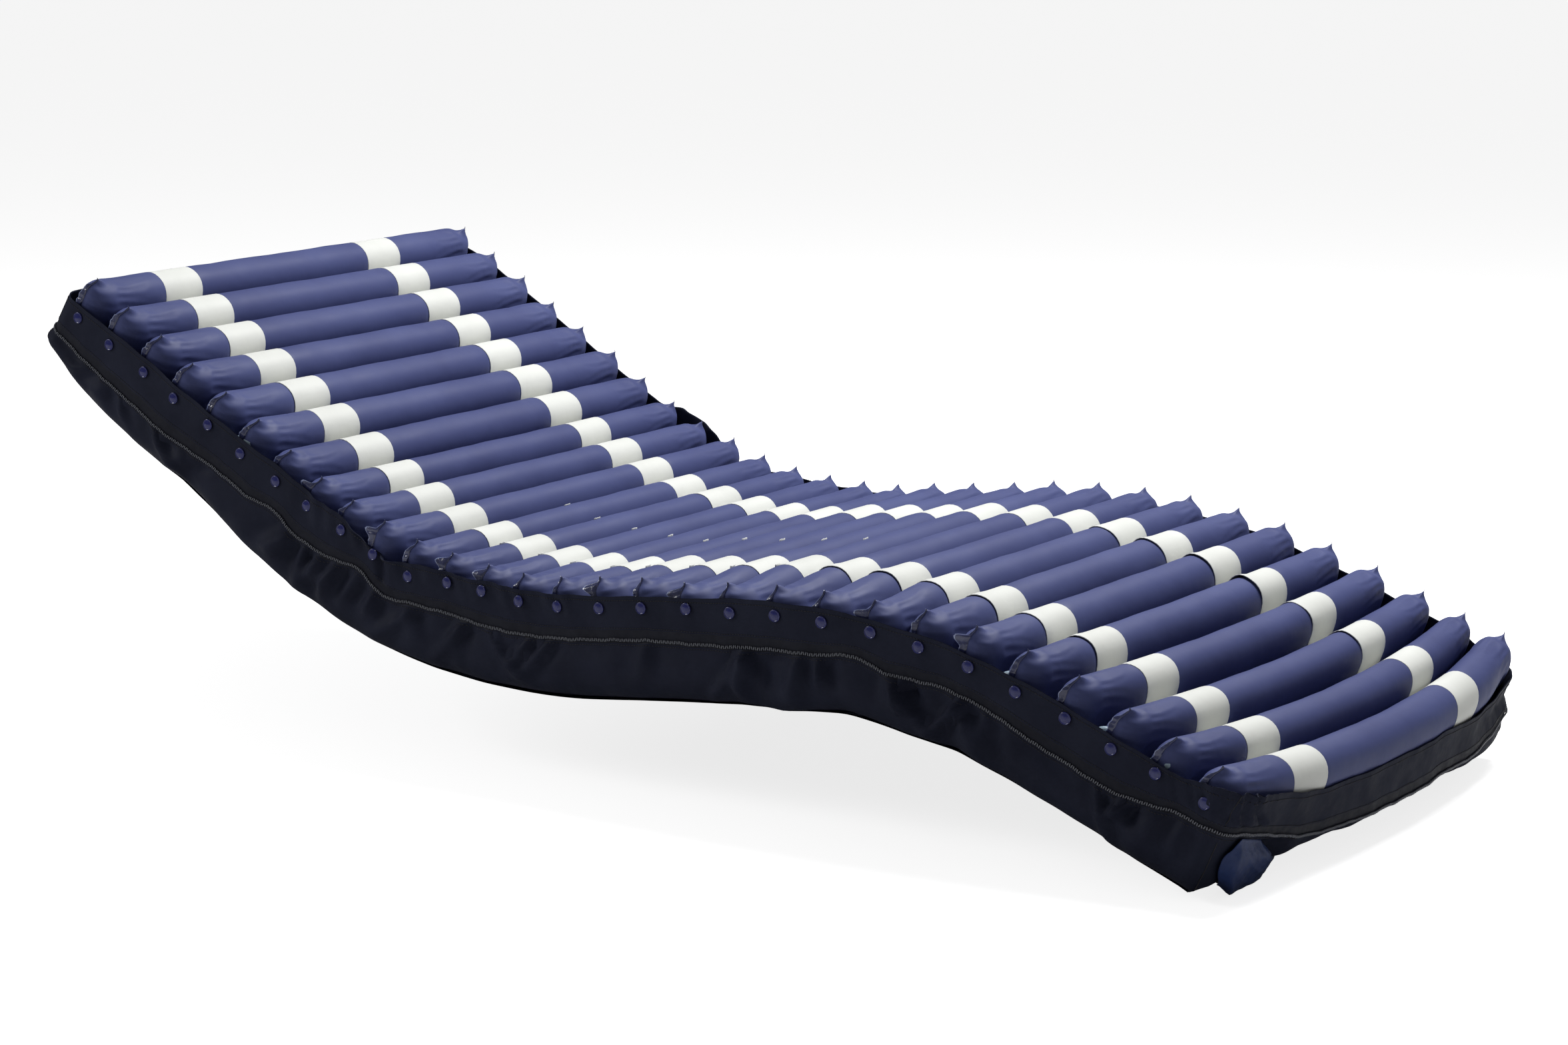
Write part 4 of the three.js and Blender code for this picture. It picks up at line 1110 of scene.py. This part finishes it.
def scatter(shape, shape_faces, run, h, out, turn=0.0):
    """Copies of a small closed shape along the wall. The shape's axes are along, outward and up."""
    point, outward, along = on_wall(run, h, out)
    count, corners = len(point), len(shape)
    tilt = np.broadcast_to(turn, (count,))
    local_x = shape[None, :, 0] * np.cos(tilt)[:, None] - shape[None, :, 2] * np.sin(tilt)[:, None]
    local_z = shape[None, :, 0] * np.sin(tilt)[:, None] + shape[None, :, 2] * np.cos(tilt)[:, None]
    up = np.array([0, 0, 1.0])
    points = (point[:, None, :] + local_x[..., None] * along[:, None, :]
              + shape[None, :, 1, None] * outward[:, None, :] + local_z[..., None] * up)
    faces = shape_faces[None] + (np.arange(count) * corners)[:, None, None]
    shell = np.repeat(np.arange(count), len(shape_faces))
    points = points.reshape(-1, 3)
    return points, faces.reshape(-1, 4), points[:, :2], shell


def bead(length, depth, height, pinch):
    """A small pillow-shaped block, narrower at its ends: axes along, outward, up."""
    rings = []
    for place_z, size in ((-0.5, pinch), (-0.32, 1.0), (0.32, 1.0), (0.5, pinch)):
        ring = [(-0.5, -0.5), (0.5, -0.5), (0.5, 0.2), (0.25, 0.5), (-0.25, 0.5), (-0.5, 0.2)]
        rings.append([(u * length * size, v * depth * size, place_z * height) for u, v in ring])
    points = np.array(rings).reshape(-1, 3)
    faces = grid_faces(4, 6, wrap=True)
    caps = [[0, 3, 2, 1], [0, 5, 4, 3], [18, 19, 20, 21], [18, 21, 22, 23]]
    return points, np.concatenate([faces, np.array(caps)])


def tube(path, radii, around=14):
    """A closed tube along bed points, capped by shrinking it to nothing at both ends."""
    path = np.asarray(path, float)
    ahead = np.gradient(path, axis=0)
    ahead /= np.linalg.norm(ahead, axis=1, keepdims=True)
    side = np.cross(ahead, [0, 0, 1.0])
    flat = np.linalg.norm(side, axis=1) < 0.2
    side[flat] = np.cross(ahead[flat], [0, 1.0, 0])
    side /= np.linalg.norm(side, axis=1, keepdims=True)
    for index in range(1, len(side)):
        if side[index] @ side[index - 1] < 0:
            side[index] *= -1
    up = np.cross(side, ahead)
    angle = np.arange(around) * 2 * math.pi / around
    ring = np.cos(angle)[None, :, None] * side[:, None] + np.sin(angle)[None, :, None] * up[:, None]
    points = path[:, None] + np.asarray(radii)[:, None, None] * ring
    return points.reshape(-1, 3), grid_faces(len(path), around, wrap=True)


ZIP_STEP = 0.0031
STITCH_STEP = 0.0042
STITCH_LENGTH = 0.0030


def add_zip():
    teeth, teeth_faces = bead(0.0019, 0.0024, 0.0046, 0.55)
    run = np.arange(0, LOOP_LENGTH - ZIP_STEP / 2, ZIP_STEP)
    tilt = 0.22 * np.where(np.arange(len(run)) % 2, 1, -1)
    points, faces, uv, shell = scatter(teeth, teeth_faces, run, ZIP_HEIGHT, 0.0017, tilt)
    hand_over("zip_teeth", points, faces, uv, [COIL_PAINT], shell_of_face=shell)


def add_stitching():
    stitch, stitch_faces = bead(STITCH_LENGTH, 0.0010, 0.0007, 0.8)
    count = int(LOOP_LENGTH / STITCH_STEP)
    for name, height in (("hem", 0.1275), ("tape_top", 0.0890), ("tape_bottom", 0.0672)):
        run = np.arange(count) * LOOP_LENGTH / count
        points, faces, uv, shell = scatter(stitch, stitch_faces, run, height, 0.0002)
        hand_over(f"stitches_{name}", points, faces, uv, [THREAD_PAINT], shell_of_face=shell)


def add_corner_seams():
    """The sewn seams that run up the four corners, broken where the zip crosses them."""
    parts, shells = [], []
    for corner in (len(HALF_LOOP) - 80 - 6, len(LOOP) - (len(HALF_LOOP) - 80 - 6), 55 + 6, len(LOOP) - 55 - 6):
        for low, high in ((0.006, 0.064), (0.090, 0.1335)):
            heights = np.linspace(low, high, 22)
            point, outward, _ = on_wall(np.full(22, LOOP_RUN[corner]), heights, 0.0001)
            radii = np.full(22, 0.0007)
            radii[0] = radii[-1] = 0.0001
            points, faces = tube(point, radii, 6)
            parts.append((points, faces, points[:, :2], np.zeros(len(faces), int)))
            shells.append(np.full(len(faces), len(shells)))
    points, faces, uv, _ = joined(parts)
    hand_over("seam_corners", points, faces, uv, [THREAD_PAINT], shell_of_face=np.concatenate(shells))


add_zip()
add_stitching()


# ---- press studs ----

def lathe(profile, around):
    """(radius, out) pairs turned about the outward axis: axes along, outward, up."""
    rings = []
    for radius, out in profile:
        angle = np.arange(around) * 2 * math.pi / around
        ring = np.stack([radius * np.cos(angle), np.full(around, out), radius * np.sin(angle)], -1)
        rings.append(ring)
    return np.concatenate(rings), grid_faces(len(profile), around, wrap=True)


STUD_PROFILE = tuple((radius * STUD_RADIUS, out) for radius, out in (
    (0.05, -0.0026), (0.70, -0.0025), (0.76, -0.0018), (0.76, 0.0000), (0.96, 0.0001), (1.00, 0.0006), (0.985, 0.0013),
    (0.94, 0.0018), (0.88, 0.0019), (0.83, 0.0017), (0.80, 0.00145), (0.76, 0.0014), (0.60, 0.0017), (0.30, 0.0020),
    (0.08, 0.0021), (0.005, 0.0021)))


def run_at_side(s, sign):
    """Distance along the outline to the point of the near (-1) or far (+1) side at s."""
    half = len(HALF_LOOP)
    on_side = np.abs(np.abs(LOOP[:, 1]) - HALF_WIDTH) < 1e-6
    if sign < 0:
        chosen = on_side & (np.arange(len(LOOP)) < half)
        return np.interp(s, LOOP[chosen, 0], LOOP_RUN[chosen])
    chosen = on_side & (np.arange(len(LOOP)) >= half)
    return np.interp(s, LOOP[chosen, 0][::-1], LOOP_RUN[chosen][::-1])


def add_studs():
    draw = np.random.default_rng(58)
    runs, heights = [], []
    for sign in (-1, 1):
        for number in range(1, CELL_COUNT + 1):
            if sign > 0 and number in (2, 3):
                continue
            s = (number - 0.5) * PITCH + draw.uniform(-0.003, 0.003)
            runs.append(float(run_at_side(s, sign)))
            heights.append(STUD_HEIGHT + draw.uniform(-0.0015, 0.0015))
    shape, shape_faces = lathe(STUD_PROFILE, 24)
    points, faces, uv, shell = scatter(shape, shape_faces, np.array(runs), np.array(heights), 0.0006)
    hand_over("studs", points, faces, uv, [STUD_PAINT], shell_of_face=shell)


add_studs()
add_corner_seams()


# ---- ports between the cell ends and the right-hand rim ----

PORT_CELLS = (6, 7, 8, 9, 10, 23, 25, 27, 28, 29)


def add_ports():
    """Each port is an elbow: it comes out of the cell's end beside the weld and turns down along the wall."""
    for number in PORT_CELLS:
        draw = np.random.default_rng(1700 + number)
        lean = draw.uniform(-0.3, 0.3)
        size = draw.uniform(0.9, 1.15)
        bend = np.linspace(0, math.pi / 2, 9)
        s0 = (number - 1) * PITCH + 0.010 + draw.uniform(-0.004, 0.004)
        top = 0.136 + draw.uniform(-0.003, 0.004)
        arc = [(s0 + 0.020 * size * (1 - math.cos(a)), top - 0.020 * size * (1 - math.sin(a))) for a in bend]
        path = [(s, -0.4215 + 0.004 * lean, h) for s, h in arc]
        start = [(path[0][0], path[0][1], path[0][2] - 0.014), (path[0][0], path[0][1], path[0][2] - 0.007)]
        end = [(path[-1][0] + 0.005, path[-1][1], path[-1][2]), (path[-1][0] + 0.009, path[-1][1], path[-1][2] - 0.0002)]
        path = start + path + end
        radius = 0.0052 * size
        radii = np.full(len(path), radius)
        radii[0] = radii[-1] = 0.0002
        radii[-2] = radius * 0.93
        radii[4:6] = radius * 1.08
        points, faces = tube(path, radii)
        port = build_mesh(f"port_{number:02d}", place(points), faces, points[:, :2], [PORT_PAINT])
        low, high, bodies = slice_at(number - 0.7)
        follow(port, bodies)


add_ports()


# ---- blue cloth over the hose outlet ----

FLAP_ROWS, FLAP_COLUMNS = 30, 44
FLAP_THICK = 0.0010


def add_flap():
    """Sewn on under the zip at the foot, it fans out over the hose nozzles and ends in a loose wavy edge."""
    across = np.linspace(0, 1, FLAP_COLUMNS)
    rows = {1: [], -1: []}
    for t in np.linspace(0, 1, FLAP_ROWS):
        left = -0.392 - 0.026 * math.sin(math.pi * min(t * 0.95, 1)) + 0.010 * t
        right = -0.318 + 0.106 * t ** 1.2
        y = left + (right - left) * across
        top = 0.0955 - 0.30 * (y + 0.388)
        ends = 0.010 * smooth((0.10 - across) / 0.10) + 0.008 * smooth((across - 0.55) / 0.45)
        bottom = 0.0125 + 0.0013 * waves(across, 0.55, 2, 61) + ends
        h = top + (bottom - top) * t
        over_hose = soft_box(y, -0.404, -0.288, 0.040) * smooth(t / 0.40)
        curl = smooth((t - 0.90) / 0.10)
        leaning = 0.012 * smooth((y + 0.31) / 0.09) * smooth((0.066 - h) / 0.05)
        stand = FOOT + 0.0155 + 0.010 * smooth(t / 0.3) + 0.0040 * over_hose - 0.004 * curl - leaning
        crumple = 0.0012 * smooth(t * 2.5) * waves(across * 0.9 + 0.5 * t, 0.62, 3, 62)
        crumple = crumple + 0.0007 * smooth(t * 3) * waves(across - 0.6 * t, 0.33, 2, 63)
        tuck = 0.014 * smooth((0.10 - across) / 0.10) * smooth(t * 3) + 0.004 * smooth((across - 0.88) / 0.12)
        for sign in rows:
            s = stand + crumple - tuck + sign * FLAP_THICK / 2
            rows[sign].append(np.stack([s, y, h], -1))
    front, back = np.stack(rows[1]), np.stack(rows[-1])
    loop = np.concatenate([front, back[:, ::-1]], 1)
    count, around = loop.shape[:2]
    faces = grid_faces(count, around, wrap=True)
    caps = [[edge + i, edge + i + 1, edge + around - 2 - i, edge + around - 1 - i]
            for edge in (0, (count - 1) * around) for i in range(around // 2 - 1)]
    caps = np.array(caps)
    caps[: len(caps) // 2] = caps[: len(caps) // 2, ::-1]
    faces = np.concatenate([faces, caps])
    points = loop.reshape(-1, 3)
    cloth = build_mesh("hose_flap_cloth", place(points), faces, points[:, 1:], [FLAP_PAINT])
    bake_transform(cloth)
    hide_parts("hose_flap")


add_flap()


# ---- hard fittings keep their CAD shape ----

FITTING_PAINTS = {
    "zip_slider": NICKEL_PAINT, "zip_pull": NICKEL_PAINT, "cpr_valve_body": BLACK_PLASTIC_PAINT,
    "cpr_plug": RED_PLASTIC_PAINT,
}
FOOT_FITTING_PAINTS = {
    "hose_connector": BLACK_PLASTIC_PAINT, "connector_button": TUBE_PAINT, "feed_line_a": TUBE_PAINT,
    "feed_line_b": TUBE_PAINT,
}


FITTINGS_DRAWN_IN = 0.008


def finish_fitting(piece, paint):
    piece.data.materials.clear()
    piece.data.materials.append(paint)
    bevel = piece.modifiers.new("soft_edges", "BEVEL")
    bevel.width = 0.0004
    bevel.segments = 2
    bevel.limit_method = "ANGLE"


def raise_with_foot(name):
    """A copy of a CAD fitting near the foot, raised as the curled-up foot end is."""
    node = frame["nodes"][name]
    mesh = node.data.copy()
    points = np.array([vertex.co[:] for vertex in mesh.vertices])
    foot_x, foot_z = on_line(FOOT, 0.0)
    towards_foot = np.array([math.cos(LEG_SLOPE), 0, math.sin(LEG_SLOPE)])
    upwards = np.array([-math.sin(LEG_SLOPE), 0, math.cos(LEG_SLOPE)])
    s = FOOT + (points - [foot_x - ORIGIN_X, 0, foot_z - ORIGIN_Z]) @ towards_foot
    raised = points + foot_lift(s, points[:, 1])[:, None] * upwards - FITTINGS_DRAWN_IN * towards_foot
    mesh.vertices.foreach_set("co", raised.astype(np.float32).ravel())
    piece = bpy.data.objects.new(f"{name}_raised", mesh)
    bpy.context.scene.collection.objects.link(piece)
    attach(piece, "connector_button" if name == "connector_button" else "leg")
    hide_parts(name)
    return piece


for fitting, fitting_paint in FITTING_PAINTS.items():
    finish_fitting(frame["nodes"][fitting], fitting_paint)
for fitting, fitting_paint in FOOT_FITTING_PAINTS.items():
    finish_fitting(raise_with_foot(fitting), fitting_paint)


# ---- floor, light and camera ----

def add_stage():
    low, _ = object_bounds()
    paint, nodes, links, shader = new_paint("studio_floor")
    shader.inputs["Base Color"].default_value = (0.62, 0.62, 0.62, 1)
    shader.inputs["Roughness"].default_value = 0.85
    shader.inputs["Emission Color"].default_value = (1, 1, 1, 1)
    path = nodes.new("ShaderNodeLightPath")
    lifted = number_ramp(nodes, links, path.outputs["Is Camera Ray"], 0, 1, 0.0, 0.80)
    links.new(lifted, shader.inputs["Emission Strength"])
    size = 60.0
    corners = np.array([(-size, -size, 0), (size, -size, 0), (size, size, 0), (-size, size, 0)])
    corners[:, 2] = low.z - 0.0005
    floor = build_mesh("studio_floor", corners, np.array([[0, 1, 2, 3]]), corners[:, :2], [paint])


def add_area_light(name, position, target, size, power, colour=(1, 1, 1)):
    data = bpy.data.lights.new(name, "AREA")
    data.shape = "RECTANGLE"
    data.size, data.size_y = size
    data.energy = power
    data.color = colour
    light = bpy.data.objects.new(name, data)
    bpy.context.scene.collection.objects.link(light)
    light.location = position
    aim = np.array(target) - np.array(position)
    turn = math.atan2(aim[1], aim[0]) - math.pi / 2
    drop = math.atan2(math.hypot(aim[0], aim[1]), -aim[2])
    light.rotation_euler = (drop, 0, turn)


CAMERA_SPOT = (2.84779846, -4.41508316, 1.18374121)
CAMERA_AZIMUTH = 33.715
CAMERA_ELEVATION = 10.8065
CAMERA_LENS = 87.99


def add_camera():
    data = bpy.data.cameras.new("camera")
    data.sensor_width = 36.0
    data.lens = CAMERA_LENS
    camera = bpy.data.objects.new("camera", data)
    bpy.context.scene.collection.objects.link(camera)
    camera.location = CAMERA_SPOT
    camera.rotation_euler = (math.radians(90 - CAMERA_ELEVATION), 0, math.radians(CAMERA_AZIMUTH))
    bpy.context.scene.camera = camera


def add_world():
    """An even white room. It looks a little brighter than it lights, as a white backdrop does."""
    world = bpy.data.worlds.new("studio")
    world.use_nodes = True
    nodes, links = world.node_tree.nodes, world.node_tree.links
    path = nodes.new("ShaderNodeLightPath")
    strength = number_ramp(nodes, links, path.outputs["Is Camera Ray"], 0, 1, 0.17, 1.0)
    backdrop = nodes["Background"]
    backdrop.inputs["Color"].default_value = (1, 1, 1, 1)
    links.new(strength, backdrop.inputs["Strength"])
    bpy.context.scene.world = world


add_stage()
add_world()
add_area_light("key", (0.5, 1.3, 3.4), (0.0, 0.0, 0.2), (2.0, 1.4), 200)
add_area_light("fill", (3.2, -3.0, 2.4), (0.2, 0.0, 0.2), (2.4, 2.0), 5)
add_area_light("head_side", (-3.4, -2.4, 2.2), (-0.4, 0.0, 0.3), (1.6, 1.6), 62)
add_camera()
bpy.context.scene.view_settings.view_transform = "Standard"
